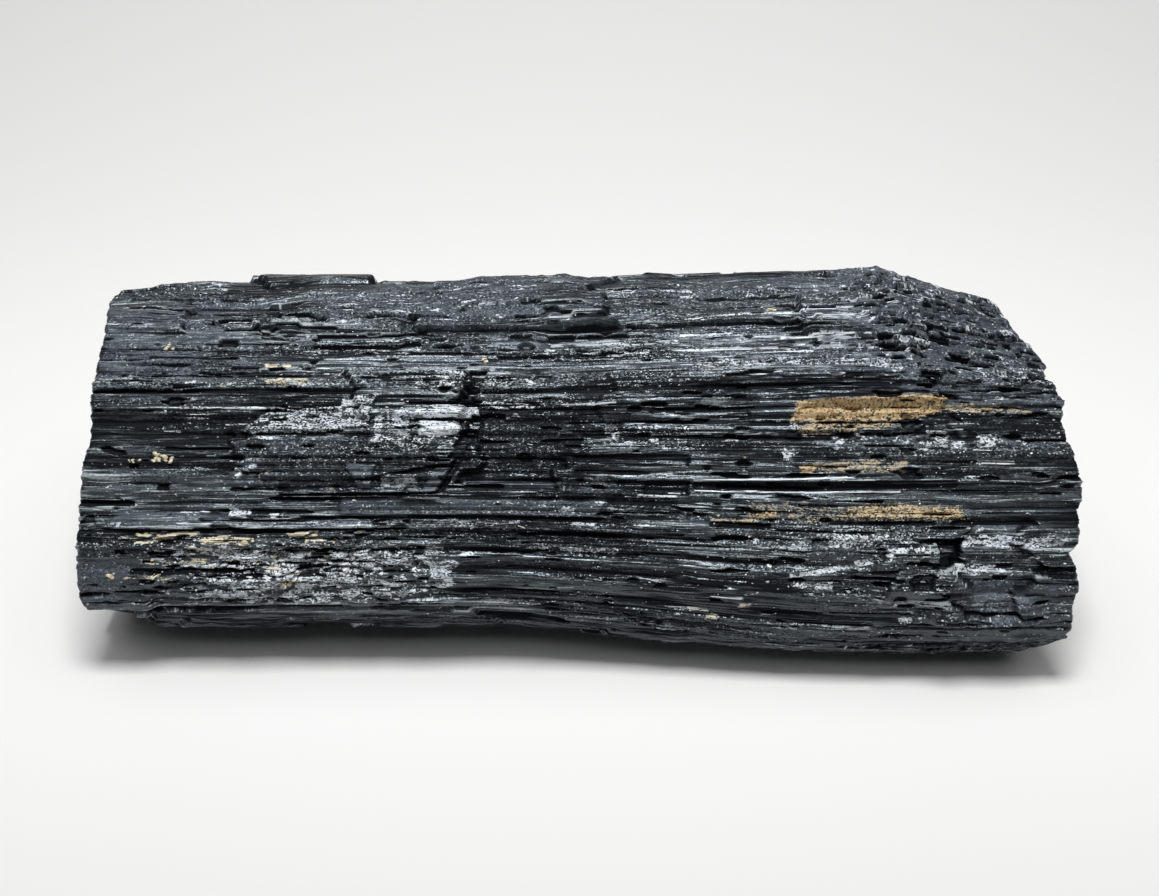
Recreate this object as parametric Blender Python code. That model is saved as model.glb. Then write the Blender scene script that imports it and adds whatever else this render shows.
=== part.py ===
"""A black tourmaline log: one striated prism, snapped off at both ends, lying on a worn side.

The crystal grew as a bundle of parallel strands along X. Its surface is a loft: each cross-section
has a groove between every two strands and a flat crest on each strand. Slabs of strands have flaked
off between parting planes, so the crests step up and down along the length. +Z is up, -Y is the
front, and the origin is under the middle of the log, on the surface that it rests on.
"""

import bmesh
import bpy
import numpy as np
from mathutils import Vector
from mathutils.geometry import delaunay_2d_cdt

MM = 0.001

# Driving dimensions
LEFT_END = -93.3 * MM
RIGHT_END = 92.6 * MM
CORNER_ROUNDING = 0.022  # share of the way round the section that a corner's rounding spreads over
REST_DEPTH = 0.3 * MM  # how far the worn underside cuts into the prism
SEED = 11

# Corners of the section, (y, z) in millimetres: from the middle of the underside, up the front, over
# the top and down the back. The right half of the log has a fuller foot at the front.
LEFT_SECTION = (
    (4, 0), (-14, 0), (-29, 6), (-35, 18), (-32, 31), (-13, 52.5),
    (8, 58.5), (23, 55.5), (36, 38), (37, 20), (29, 5), (21, 0),
)
RIGHT_SECTION = (
    (4, 0), (-20, 0), (-34, 3.5), (-39, 14), (-35, 30), (-14, 54.5),
    (9, 61.5), (24, 58.5), (37, 40), (38, 20), (30, 5), (22, 0),
)
SECTION_CHANGE = (-20.0 * MM, 55.0 * MM)  # the left section turns into the right one between these

# Widths of the strands in millimetres, in the same order round the section
UNDER_FRONT_WIDTHS = (7.2, 7.5, 7.0, 6.0, 5.0, 4.0)
FRONT_WIDTHS = (
    4.3, 4.0, 5.0, 5.0, 4.2, 3.8, 3.5, 2.8, 3.0, 2.7, 2.6,
    3.4, 3.0, 3.0, 3.4, 4.6, 6.0, 4.0, 3.6, 6.8, 7.6,
)
BACK_WIDTHS = (7.0, 6.0, 7.5, 5.5, 8.0, 6.5, 7.0, 5.0, 7.5, 6.5, 7.0, 6.5, 7.0)
STRAND_WIDTHS = UNDER_FRONT_WIDTHS + FRONT_WIDTHS + BACK_WIDTHS
NARROW_WIDTH = 3.2  # a strand this narrow has one line of crest points, and a wider one has two

# Parting planes across the log, in millimetres along X, where flaked slabs end
PARTINGS = (-83, -74, -64, -55, -41, -30, -20, -4, 5, 23, 41, 56, 69, 82)
PARTING_SLOPE = 0.5 * MM  # half the run of a step
PARTING_WANDER = 2.2 * MM  # how far a strand's own step may lie from the plane

GROOVE_DEPTH = (0.5 * MM, 1.1 * MM)
LEVEL_CHANCE = 0.3  # chance that a strand steps to another level at a parting plane
LEVEL_SPREAD = 0.45 * MM

# Slabs that stand proud (+) or have flaked off (-):
# (first strand, last strand, first bay, last bay, height in millimetres)
LEDGES = {
    "worn underside": (0, 2, 0, 14, 0.3),
    "worn underside towards the back": (38, 39, 0, 14, 0.3),
    "plate on the back edge": (27, 27, 3, 4, 1.7),
    "upper slab": (24, 26, 6, 8, 1.7),
    "slope beyond the upper slab": (26, 27, 9, 10, 0.6),
    "right end of the back edge": (26, 27, 11, 12, 0.4),
    "pit above the upper slab": (25, 25, 2, 3, -0.9),
    "slab that ends at the diagonal step": (19, 21, 5, 6, 1.3),
    "hollow right of the diagonal step": (17, 20, 7, 8, -0.7),
    "silvery slab": (15, 18, 3, 6, 0.9),
    "black facet": (15, 16, 7, 7, -1.2),
    "long rod": (13, 13, 6, 8, 0.9),
    "channel between two rods": (14, 14, 10, 12, -0.9),
    "stained hollow": (18, 19, 11, 12, -0.8),
    "brow over the stained hollow": (20, 20, 11, 12, 0.6),
    "lens-shaped bulge": (10, 11, 12, 12, 1.5),
    "pocket beside the bulge": (9, 12, 13, 13, -1.7),
    "flakes along the foot": (5, 6, 9, 13, 0.8),
    "chipped lower left corner": (3, 7, 0, 0, -2.2),
    "chip on the right shoulder": (21, 23, 13, 14, -0.9),
}

# The broken ends. Both breaks are laid out by the distance up a plane that leans back.
BREAK_TILT = np.radians(35.0)
LEAN_START = 33.0 * MM  # above this distance the right end leans back along the log
LEAN = 0.4
FOOT_START = -11.8 * MM  # below this distance the right end's foot is rounded off
FOOT_FALL = 2.4
BEND_START = 40.0 * MM  # the last parting planes at the right bend with the break from here on
SHOULDER_START = 64.0 * MM  # from here the top of the log is worn down towards the right end
SHOULDER_SLOPE = 0.24
RIM_JITTER = 0.9 * MM  # how unevenly the strands end
BEVEL = 1.6 * MM
CAP_RIM = 0.94  # edge of an end face, as a share of the way out to the end's rim
CAP_POINTS = 190  # points inside an end face
CAP_BLOCKS = 26  # blocks that an end face is broken into
CAP_ROUGHNESS = 2.2 * MM
GOLDEN = 0.61803398875

CURVE_POINTS = 2048  # points of the section's curve before it is sampled


def smoothstep(value, start, end):
    """0 before start, 1 after end, and a smooth rise between them."""
    share = np.clip((value - start) / (end - start), 0.0, 1.0)
    return share * share * (3.0 - 2.0 * share)


def smooth_ring(values):
    """Values round a closed curve, rounded off by a Gaussian."""
    steps = np.minimum(np.arange(len(values)), len(values) - np.arange(len(values)))
    kernel = np.exp(-0.5 * (steps / len(values) / CORNER_ROUNDING) ** 2)
    spectrum = np.fft.rfft(values) * np.fft.rfft(kernel / kernel.sum())
    return np.fft.irfft(spectrum, len(values))


def section_curve(corners):
    """The rounded section as CURVE_POINTS points, spaced so that both sections' corners correspond."""
    left, right = (np.array(c + c[:1], float) * MM for c in (LEFT_SECTION, RIGHT_SECTION))
    sides = np.hypot(*np.diff((left + right) / 2, axis=0).T)
    reached = np.concatenate([[0], np.cumsum(sides)]) / sides.sum()
    ring = np.array(corners + corners[:1], float) * MM
    share = np.arange(CURVE_POINTS) / CURVE_POINTS
    return np.stack([smooth_ring(np.interp(share, reached, ring[:, k])) for k in (0, 1)], axis=1)


def section_points(share, x):
    """Points and outward normals of the smooth section, at a share of the way round and a place along X."""
    blend = smoothstep(x, *SECTION_CHANGE)[..., None]

    def at(where):
        rows = [np.interp(where % 1.0, np.arange(CURVE_POINTS + 1) / CURVE_POINTS,
                          np.append(curve[:, k], curve[0, k]))
                for curve in (section_curve(LEFT_SECTION), section_curve(RIGHT_SECTION)) for k in (0, 1)]
        return np.stack(rows[:2], -1) * (1 - blend) + np.stack(rows[2:], -1) * blend

    along = at(share + 1 / CURVE_POINTS) - at(share - 1 / CURVE_POINTS)
    along /= np.linalg.norm(along, axis=-1, keepdims=True)
    return at(share), np.stack([-along[..., 1], along[..., 0]], -1)


def strand_edges():
    """Where each strand starts, as a share of the way round, and where the last one ends."""
    widths = np.array(STRAND_WIDTHS)
    return np.concatenate([[0], np.cumsum(widths)]) / widths.sum()


def strand_levels(random):
    """Height of each strand in each bay between parting planes."""
    strands, bays = len(STRAND_WIDTHS), len(PARTINGS) + 1
    fresh = random.normal(0.0, LEVEL_SPREAD, (strands, bays))
    steps = random.random((strands, bays)) < LEVEL_CHANCE
    levels = np.where(steps, fresh, 0.0)
    for bay in range(1, bays):
        levels[:, bay] = np.where(steps[:, bay], fresh[:, bay], levels[:, bay - 1])
    for first, last, first_bay, last_bay, height in LEDGES.values():
        levels[first:last + 1, first_bay:last_bay + 1] = height * MM
    return levels


def section_layout(random, levels):
    """Where the section's points lie, and what each is.

    Returns the points' shares of the way round, the strand that each stands on, and its height
    in each bay: a groove point is lower than both of its strands.
    """
    edges = strand_edges()
    shares, owners, heights = [], [], []
    for strand, width in enumerate(STRAND_WIDTHS):
        start, span = edges[strand], edges[strand + 1] - edges[strand]
        depth = random.uniform(*GROOVE_DEPTH)
        shares.append(start)
        owners.append(strand)
        heights.append(np.minimum(levels[strand - 1], levels[strand]) - depth)
        crest = (0.5,) if width < NARROW_WIDTH else (0.2, 0.8)
        for place in crest:
            shares.append(start + place * span)
            owners.append(strand)
            heights.append(levels[strand] + random.uniform(-0.25, 0.15) * depth)
    return np.array(shares), np.array(owners), np.array(heights)


def up_the_break(y, z):
    """Distance up a plane that leans back by BREAK_TILT."""
    return y * np.sin(BREAK_TILT) + z * np.cos(BREAK_TILT)


def left_end(y, z):
    """X of the left break over the section: flat, and square across the log."""
    return LEFT_END + 0.03 * np.abs(up_the_break(y, z) + 5 * MM)


def right_end(y, z):
    """X of the right break over the section: it leans back above, and its foot is rounded."""
    distance = up_the_break(y, z)
    lean = LEAN * np.clip(distance - LEAN_START, 0.0, None)
    foot = FOOT_FALL * np.clip(FOOT_START - distance, 0.0, None)
    return RIGHT_END - lean - foot


def broken_blocks(random, y, z):
    """Rise of a broken face over the section: blocks of different lengths, each with a tilted top."""
    centre_y = random.uniform(-36 * MM, 36 * MM, CAP_BLOCKS)
    centre_z = random.uniform(2 * MM, 60 * MM, CAP_BLOCKS)
    length = random.uniform(-CAP_ROUGHNESS, CAP_ROUGHNESS, CAP_BLOCKS)
    tilt = random.uniform(-0.15, 0.15, (2, CAP_BLOCKS))
    nearest = np.argmin(np.hypot(y[:, None] - centre_y, z[:, None] - centre_z), axis=1)
    from_centre = (y - centre_y[nearest], z - centre_z[nearest])
    return length[nearest] + tilt[0, nearest] * from_centre[0] + tilt[1, nearest] * from_centre[1]


def worn_shoulder(x, normal):
    """How far the upper side is worn down near the right end."""
    facing_up = np.clip(up_the_break(normal[:, 0], normal[:, 1]) / 0.7, 0.0, 1.0)
    return SHOULDER_SLOPE * np.clip(x - SHOULDER_START, 0.0, None) * facing_up


def crystal_surface():
    """The rings of points from the left rim to the right one, and the two broken faces.

    Each broken face is its edge ring and the points inside it.
    """
    random = np.random.RandomState(SEED)
    levels = strand_levels(random)
    shares, owners, heights = section_layout(random, levels)
    wander = random.uniform(-PARTING_WANDER, PARTING_WANDER, (len(STRAND_WIDTHS), len(PARTINGS)))
    jitter = random.uniform(-RIM_JITTER, RIM_JITTER, (2, len(STRAND_WIDTHS)))

    def ring(x, height):
        """Points of a ring at x, which may differ from point to point, raised by height."""
        centre, normal = section_points(shares, x)
        place = centre + normal * (height - worn_shoulder(x, normal))[:, None]
        place[:, 1] -= REST_DEPTH
        bend = np.clip((x - BEND_START) / (RIGHT_END - BEND_START), 0.0, 1.0)
        x = x + bend * (right_end(place[:, 0], place[:, 1]) - RIGHT_END)
        return np.column_stack([x, place[:, 0], np.maximum(place[:, 1], 0.0)])

    rings = []
    for plane, parting in enumerate(PARTINGS):
        for side in (-1, 1):
            x = parting * MM + wander[owners, plane] + side * PARTING_SLOPE
            rings.append(ring(x, heights[:, plane + (side > 0)]))

    faces = []
    for index, (end, bay) in enumerate(((left_end, 0), (right_end, -1))):
        inward = 1 - 2 * index
        rim_x = (LEFT_END, RIGHT_END)[index] + inward * (BEVEL + RIM_JITTER) + jitter[index, owners]
        rim = ring(rim_x, heights[:, bay])
        rings.insert(0 if index == 0 else len(rings), rim)
        middle = rim[:, 1:].mean(axis=0)
        outline = rim[:, 1:] - middle
        edge = middle + outline * CAP_RIM
        edge_x = end(edge[:, 0], edge[:, 1]) + inward * RIM_JITTER + jitter[index, owners]
        count = np.arange(CAP_POINTS)
        towards = (count * GOLDEN % 1.0 * len(outline)).astype(int)
        share = 0.9 * CAP_RIM * np.sqrt((count + 0.5) / CAP_POINTS)
        inside = middle + outline[towards] * share[:, None]
        inside_x = end(inside[:, 0], inside[:, 1]) + inward * RIM_JITTER
        inside_x += broken_blocks(random, inside[:, 0], inside[:, 1])
        faces.append((np.column_stack([edge_x, edge]), np.column_stack([inside_x, inside])))
    return rings, faces


def crystal():
    """The crystal: a loft through its rings, closed at both ends by a triangulated broken face."""
    rings, ends = crystal_surface()
    mesh = bmesh.new()
    rows = [[mesh.verts.new(point) for point in ring] for ring in [ends[0][0]] + rings + [ends[1][0]]]
    count = len(rows[0])
    for near, far in zip(rows, rows[1:]):
        for i in range(count):
            j = (i + 1) % count
            mesh.faces.new((near[i], near[j], far[j], far[i]))
    for row, (edge, inside) in zip((rows[0], rows[-1]), ends):
        points = row + [mesh.verts.new(point) for point in inside]
        flat = [Vector((point.co.y, point.co.z)) for point in points]
        loop = list(range(count))
        found = delaunay_2d_cdt(flat, [], [loop], 1, 1e-7)
        for triangle in found[2]:
            mesh.faces.new([points[found[3][corner][0]] for corner in triangle])
    bmesh.ops.triangulate(mesh, faces=mesh.faces)
    bmesh.ops.recalc_face_normals(mesh, faces=mesh.faces)
    data = bpy.data.meshes.new("tourmaline_crystal")
    mesh.to_mesh(data)
    mesh.free()
    return bpy.data.objects.new("tourmaline_crystal", data)


def black_tourmaline():
    """Glossy black schorl."""
    material = bpy.data.materials.new("black_tourmaline")
    material.use_nodes = True
    shader = material.node_tree.nodes["Principled BSDF"]
    shader.inputs["Base Color"].default_value = (0.035, 0.038, 0.043, 1.0)
    shader.inputs["Roughness"].default_value = 0.35
    shader.inputs["Metallic"].default_value = 0.0
    return material


def main():
    for old in list(bpy.data.objects):
        bpy.data.objects.remove(old)
    collection = bpy.data.collections.new("tourmaline_crystal")
    bpy.context.scene.collection.children.link(collection)
    body = crystal()
    body.data.materials.append(black_tourmaline())
    collection.objects.link(body)


main()
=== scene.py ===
"""Looks of a black tourmaline log: a striated skin, two broken ends, grains of feldspar and flakes of mica.

Lengths in this file are millimetres until a mesh is made, which scales them to metres. A place on the
skin is given by x, along the log, and by the girth: the distance round the section from the middle of
the underside, up the front, over the top and down the back.
"""

import logging
from dataclasses import dataclass, field
from enum import Enum
from typing import Callable, Mapping, Sequence

import bpy
import numpy as np
from mathutils import Matrix, Vector


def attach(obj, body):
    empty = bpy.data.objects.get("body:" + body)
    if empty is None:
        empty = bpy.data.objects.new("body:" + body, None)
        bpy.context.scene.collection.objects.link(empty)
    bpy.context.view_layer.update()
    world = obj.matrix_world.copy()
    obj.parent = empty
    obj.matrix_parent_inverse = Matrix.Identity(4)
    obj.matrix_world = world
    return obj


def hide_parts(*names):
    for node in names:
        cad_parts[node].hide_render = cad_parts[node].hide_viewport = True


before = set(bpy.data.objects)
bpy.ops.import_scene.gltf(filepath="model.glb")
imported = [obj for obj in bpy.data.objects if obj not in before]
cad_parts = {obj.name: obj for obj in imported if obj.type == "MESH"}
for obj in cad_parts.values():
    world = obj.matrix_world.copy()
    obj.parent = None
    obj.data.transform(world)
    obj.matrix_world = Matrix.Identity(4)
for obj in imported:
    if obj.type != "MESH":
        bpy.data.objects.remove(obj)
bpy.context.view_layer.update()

log = logging.getLogger("tourmaline")

MM = 0.001
NODE = "tourmaline_crystal"
BODY = "root"
REFRACTION = 1.64

Array = np.ndarray
Colour = tuple[float, float, float]


# ---------------------------------------------------------------------------------------------
# Number patterns
# ---------------------------------------------------------------------------------------------


def smoothstep(value: Array, start: float, end: float) -> Array:
    """Rise smoothly from 0 at start to 1 at end: 3 s^2 - 2 s^3 of the share of the way between them."""
    share = np.clip((value - start) / (end - start), 0.0, 1.0)
    return share * share * (3.0 - 2.0 * share)


class Lattice:
    """Random values on the points of a square lattice, joined by smoothsteps."""

    SIZE = 256

    def __init__(self, seed: int) -> None:
        """Draw the lattice's values.

        Args:
            seed: seed of the draw.
        """
        self.values = np.random.RandomState(seed).uniform(-1.0, 1.0, (self.SIZE, self.SIZE))

    def at(self, across: Array, along: Array) -> Array:
        """Read the pattern, which repeats every SIZE points.

        Args:
            across: first coordinate, in lattice steps.
            along: second coordinate, in lattice steps.

        Returns:
            Values from -1 to 1.
        """
        low_a, low_b = np.floor(across), np.floor(along)
        rise_a, rise_b = smoothstep(across - low_a, 0, 1), smoothstep(along - low_b, 0, 1)
        a, b = low_a.astype(int), low_b.astype(int)
        a0, a1, b0, b1 = a % self.SIZE, (a + 1) % self.SIZE, b % self.SIZE, (b + 1) % self.SIZE
        near = self.values[a0, b0] * (1 - rise_b) + self.values[a0, b1] * rise_b
        far = self.values[a1, b0] * (1 - rise_b) + self.values[a1, b1] * rise_b
        return near * (1 - rise_a) + far * rise_a

    def cloud(self, across: Array, along: Array, octaves: int = 3) -> Array:
        """Sum the pattern at doubling fineness and halving height.

        Args:
            across: first coordinate, in steps of the coarsest octave.
            along: second coordinate, in steps of the coarsest octave.
            octaves: number of patterns that are added.

        Returns:
            Values from about -1 to 1.
        """
        total, weight = 0.0, 0.0
        for octave in range(octaves):
            share = 0.5 ** octave
            total = total + share * self.at(across * 2 ** octave + 17.3 * octave, along * 2 ** octave)
            weight += share
        return total / weight


@dataclass(frozen=True)
class Cloud:
    """A cloudy pattern on the skin: its grain across and along the strands, and its octaves."""

    seed: int
    across: float
    along: float
    octaves: int

    def at(self, girth: Array, x: Array) -> Array:
        """Values from about -1 to 1."""
        return Lattice(self.seed).cloud(girth / self.across, x / self.along, self.octaves)


CALM_REACHES = Cloud(14, 6.0, 45.0, 2)
GRITTY_REACHES = Cloud(10, 2.6, 24.0, 2)
PAINTED_SHADE_REACHES = Cloud(15, 2.4, 34.0, 2)
ROUGH = Cloud(5, 2.2, 3.0, 4)
FRAYED = Cloud(6, 1.1, 6.0, 3)
FIBRES = Cloud(8, 0.5, 9.0, 3)
GRIT = Cloud(12, 0.9, 1.5, 3)
CHUNKS = Cloud(13, 2.6, 3.6, 3)
PITTING = Cloud(11, 1.2, 5.0, 2)
WOBBLE = Cloud(16, 3.0, 8.0, 3)


# ---------------------------------------------------------------------------------------------
# The solid's own shape, by the same rules as its source
# ---------------------------------------------------------------------------------------------


@dataclass(frozen=True)
class Section:
    """The log's rounded section, which changes from a left form to a right one."""

    left: tuple[tuple[float, float], ...] = (
        (4, 0), (-14, 0), (-29, 6), (-35, 18), (-32, 31), (-13, 52.5),
        (8, 58.5), (23, 55.5), (36, 38), (37, 20), (29, 5), (21, 0),
    )
    right: tuple[tuple[float, float], ...] = (
        (4, 0), (-20, 0), (-34, 3.5), (-39, 14), (-35, 30), (-14, 54.5),
        (9, 61.5), (24, 58.5), (37, 40), (38, 20), (30, 5), (22, 0),
    )
    change_from: float = -20.0
    change_to: float = 55.0
    corner_rounding: float = 0.022
    curve_points: int = 2048

    def _ring(self, corners: Sequence[tuple[float, float]]) -> Array:
        """Carry a point round straight sides at a steady pace, and round it off by a periodic Gaussian."""
        closed = [np.array(c + c[:1], float) for c in (self.left, self.right)]
        sides = np.hypot(*np.diff((closed[0] + closed[1]) / 2, axis=0).T)
        reached = np.concatenate([[0], np.cumsum(sides)]) / sides.sum()
        count = np.arange(self.curve_points)
        steps = np.minimum(count, self.curve_points - count)
        kernel = np.exp(-0.5 * (steps / self.curve_points / self.corner_rounding) ** 2)
        ring = np.array(tuple(corners) + tuple(corners[:1]), float)
        raw = np.stack([np.interp(count / self.curve_points, reached, ring[:, k]) for k in (0, 1)], 1)
        spectrum = np.fft.rfft(raw, axis=0) * np.fft.rfft(kernel / kernel.sum())[:, None]
        return np.fft.irfft(spectrum, self.curve_points, axis=0)

    def at(self, share: Array, x: Array) -> tuple[Array, Array]:
        """Points and outward normals: the two forms mixed by a smoothstep along x.

        Args:
            share: share of the way round, of the same shape as x.
            x: place along the log.

        Returns:
            Arrays of (y, z) points and of (y, z) unit normals.
        """
        blend = smoothstep(x, self.change_from, self.change_to)[..., None]
        grid = np.arange(self.curve_points + 1) / self.curve_points
        rings = [np.vstack([ring, ring[:1]]) for ring in (self._ring(self.left), self._ring(self.right))]

        def mixed(where: Array) -> Array:
            """The mixed point at a share of the way round."""
            forms = [np.stack([np.interp(where % 1.0, grid, ring[:, k]) for k in (0, 1)], -1)
                     for ring in rings]
            return forms[0] * (1 - blend) + forms[1] * blend

        along = mixed(share + 1 / self.curve_points) - mixed(share - 1 / self.curve_points)
        along /= np.linalg.norm(along, axis=-1, keepdims=True)
        return mixed(share), np.stack([-along[..., 1], along[..., 0]], -1)


@dataclass(frozen=True)
class Ledge:
    """A slab of strands, between two parting planes, that stands proud or has flaked off."""

    first_strand: int
    last_strand: int
    first_bay: int
    last_bay: int
    height: float


@dataclass
class Strands:
    """The thick strands of the solid: their widths, levels, grooves and parting planes."""

    seed: int = 11
    widths: tuple[float, ...] = (
        7.2, 7.5, 7.0, 6.0, 5.0, 4.0,
        4.3, 4.0, 5.0, 5.0, 4.2, 3.8, 3.5, 2.8, 3.0, 2.7, 2.6,
        3.4, 3.0, 3.0, 3.4, 4.6, 6.0, 4.0, 3.6, 6.8, 7.6,
        7.0, 6.0, 7.5, 5.5, 8.0, 6.5, 7.0, 5.0, 7.5, 6.5, 7.0, 6.5, 7.0,
    )
    narrow: float = 3.2
    partings: tuple[float, ...] = (-83, -74, -64, -55, -41, -30, -20, -4, 5, 23, 41, 56, 69, 82)
    wander: float = 2.2
    slant: float = 1.3
    ledge_step: float = 0.7
    ledge_run: float = 0.9
    strand_run: float = 4.0
    groove: tuple[float, float] = (0.5, 1.1)
    groove_share: float = 0.2
    fill_length: float = 13.0
    unlike: float = 3.7
    level_chance: float = 0.3
    level_spread: float = 0.45
    rim_jitter: float = 0.9
    ledges: tuple[Ledge, ...] = (
        Ledge(0, 2, 0, 14, 0.3), Ledge(38, 39, 0, 14, 0.3),
        Ledge(27, 27, 3, 4, 1.7), Ledge(24, 26, 6, 8, 1.7), Ledge(26, 27, 9, 10, 0.6),
        Ledge(26, 27, 11, 12, 0.4), Ledge(25, 25, 2, 3, -0.9), Ledge(19, 21, 5, 6, 1.3),
        Ledge(17, 20, 7, 8, -0.7), Ledge(15, 18, 3, 6, 0.9), Ledge(15, 16, 7, 7, -1.2),
        Ledge(13, 13, 6, 8, 0.9), Ledge(14, 14, 10, 12, -0.9), Ledge(18, 19, 11, 12, -0.8),
        Ledge(20, 20, 11, 12, 0.6), Ledge(10, 11, 12, 12, 1.5), Ledge(9, 12, 13, 13, -1.7),
        Ledge(5, 6, 9, 13, 0.8), Ledge(3, 7, 0, 0, -2.2), Ledge(21, 23, 13, 14, -0.9),
        Ledge(7, 8, 11, 14, 0.1),
    )
    raggedness: float = 1.7
    groove_fill: float = 0.7

    def __post_init__(self) -> None:
        """Draw the levels, the section's points, the parting planes' wander and the tips' jitter."""
        self.random = np.random.RandomState(self.seed)
        self.edges = np.concatenate([[0], np.cumsum(self.widths)]) / sum(self.widths)
        self.girth = float(sum(self.widths))
        levels = self._levels()
        shares, owners, heights = [], [], []
        for strand, width in enumerate(self.widths):
            start, span = self.edges[strand], self.edges[strand + 1] - self.edges[strand]
            depth = self.random.uniform(*self.groove)
            shares.append(start)
            owners.append(strand)
            heights.append(np.minimum(levels[strand - 1], levels[strand]) - depth)
            crests = (0.5,) if width < self.narrow else (self.groove_share, 1 - self.groove_share)
            for place in crests:
                shares.append(start + place * span)
                owners.append(strand)
                heights.append(levels[strand] + self.random.uniform(-0.25, 0.15) * depth)
        self.shares, self.owners, self.heights = np.array(shares), np.array(owners), np.array(heights)
        shape = (len(self.widths), len(self.partings))
        self.offsets = self.random.uniform(-self.wander, self.wander, shape)
        self.tips = self.random.uniform(-self.rim_jitter, self.rim_jitter, (2, len(self.widths)))
        self.slants = np.random.RandomState(self.seed + 1).uniform(-self.slant, self.slant, shape)

    def _levels(self) -> Array:
        """Height of each strand in each bay: a random walk that now and then steps, then the ledges."""
        strands, bays = len(self.widths), len(self.partings) + 1
        fresh = self.random.normal(0.0, self.level_spread, (strands, bays))
        steps = self.random.random_sample((strands, bays)) < self.level_chance
        levels = np.where(steps, fresh, 0.0)
        for bay in range(1, bays):
            levels[:, bay] = np.where(steps[:, bay], fresh[:, bay], levels[:, bay - 1])
        for ledge in self.ledges:
            rows = slice(ledge.first_strand, ledge.last_strand + 1)
            levels[rows, ledge.first_bay:ledge.last_bay + 1] = ledge.height
        return levels

    def owner(self, share: Array) -> Array:
        """Index of the strand at a share of the way round."""
        return np.clip(np.searchsorted(self.edges, share % 1.0, side="right") - 1, 0, len(self.widths) - 1)

    def relief(self, share: Array, x: Array, ragged: Array, plain: Array) -> Array:
        """Height of the thick strands.

        In a bay, the height runs straight between the section's points. At each parting plane it rises
        by a smoothstep to the next bay's height, at a place that wanders from strand to strand.

        Args:
            share: share of the way round, one row each.
            x: places along the log, a row for each share.
            ragged: unevenness of the steps' ends, of the shape of x, from -1 to 1.
            plain: how far the grooves are filled, of the shape of x, from 0 to 1.

        Returns:
            Heights of the shape of x.
        """
        row = share % 1.0
        points = np.append(self.shares, 1.0)
        by_bay = np.vstack([self.heights, self.heights[:1]])
        at_row = np.stack([np.interp(row, points, by_bay[:, b]) for b in range(by_bay.shape[1])], 1)
        owner = self.owner(row)
        offsets = self.offsets[owner]
        over = (row - (self.edges[owner] + self.edges[owner + 1]) / 2) * self.girth
        height = np.repeat(at_row[:, :1], x.shape[1], axis=1)
        for plane, parting in enumerate(self.partings):
            start = parting + offsets[:, plane:plane + 1] + self.raggedness * ragged
            start = start + self.slants[owner, plane][:, None] * over[:, None]
            step = at_row[:, plane + 1:plane + 2] - at_row[:, plane:plane + 1]
            run = np.where(np.abs(step) > self.ledge_step, self.ledge_run, self.strand_run)
            height = height + step * smoothstep((x - start) / run, -0.5, 0.5)
        place = (row - self.edges[owner]) / (self.edges[owner + 1] - self.edges[owner])
        in_groove = np.clip(1.0 - np.minimum(place, 1.0 - place) / self.groove_share, 0.0, 1.0)[:, None]
        side = np.where(place < 0.5, owner, owner + 1)[:, None]
        pattern = Lattice(self.seed).at(side * self.unlike + 0.0 * x, x / self.fill_length)
        filled = smoothstep(pattern, -0.5, 0.3)
        return height + in_groove * np.maximum(self.groove_fill * filled, plain)


@dataclass(frozen=True)
class Breaks:
    """Where the two broken ends lie over the section."""

    left: float = -93.3
    right: float = 92.6
    tilt: float = float(np.radians(35.0))
    left_ridge: float = -5.0
    left_lean: float = 0.03
    lean_start: float = 33.0
    lean: float = 0.4
    foot_start: float = -11.8
    foot_fall: float = 2.4
    bend_start: float = 40.0
    shoulder_start: float = 64.0
    shoulder_slope: float = 0.24
    full_wear: float = 0.7

    def up(self, y: Array, z: Array) -> Array:
        """Distance up a plane that leans back by the tilt."""
        return y * np.sin(self.tilt) + z * np.cos(self.tilt)

    def left_end(self, y: Array, z: Array) -> Array:
        """X of the left break: nearly square across the log."""
        return self.left + self.left_lean * np.abs(self.up(y, z) - self.left_ridge)

    def right_end(self, y: Array, z: Array) -> Array:
        """X of the right break: it leans back above, and its foot is rounded."""
        distance = self.up(y, z)
        lean = self.lean * np.clip(distance - self.lean_start, 0.0, None)
        return self.right - lean - self.foot_fall * np.clip(self.foot_start - distance, 0.0, None)

    def worn(self, x: Array, normal: Array) -> Array:
        """How far the upper side is worn down near the right end: a slope in x, where it faces up."""
        facing_up = np.clip(self.up(normal[..., 0], normal[..., 1]) / self.full_wear, 0.0, 1.0)
        return self.shoulder_slope * np.clip(x - self.shoulder_start, 0.0, None) * facing_up

    def bent(self, x: Array, y: Array, z: Array) -> Array:
        """X after the right end's stations are bent to follow the right break."""
        bend = np.clip((x - self.bend_start) / (self.right - self.bend_start), 0.0, 1.0)
        return x + bend * (self.right_end(y, z) - self.right)


# ---------------------------------------------------------------------------------------------
# Fine relief of the skin
# ---------------------------------------------------------------------------------------------


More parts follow.
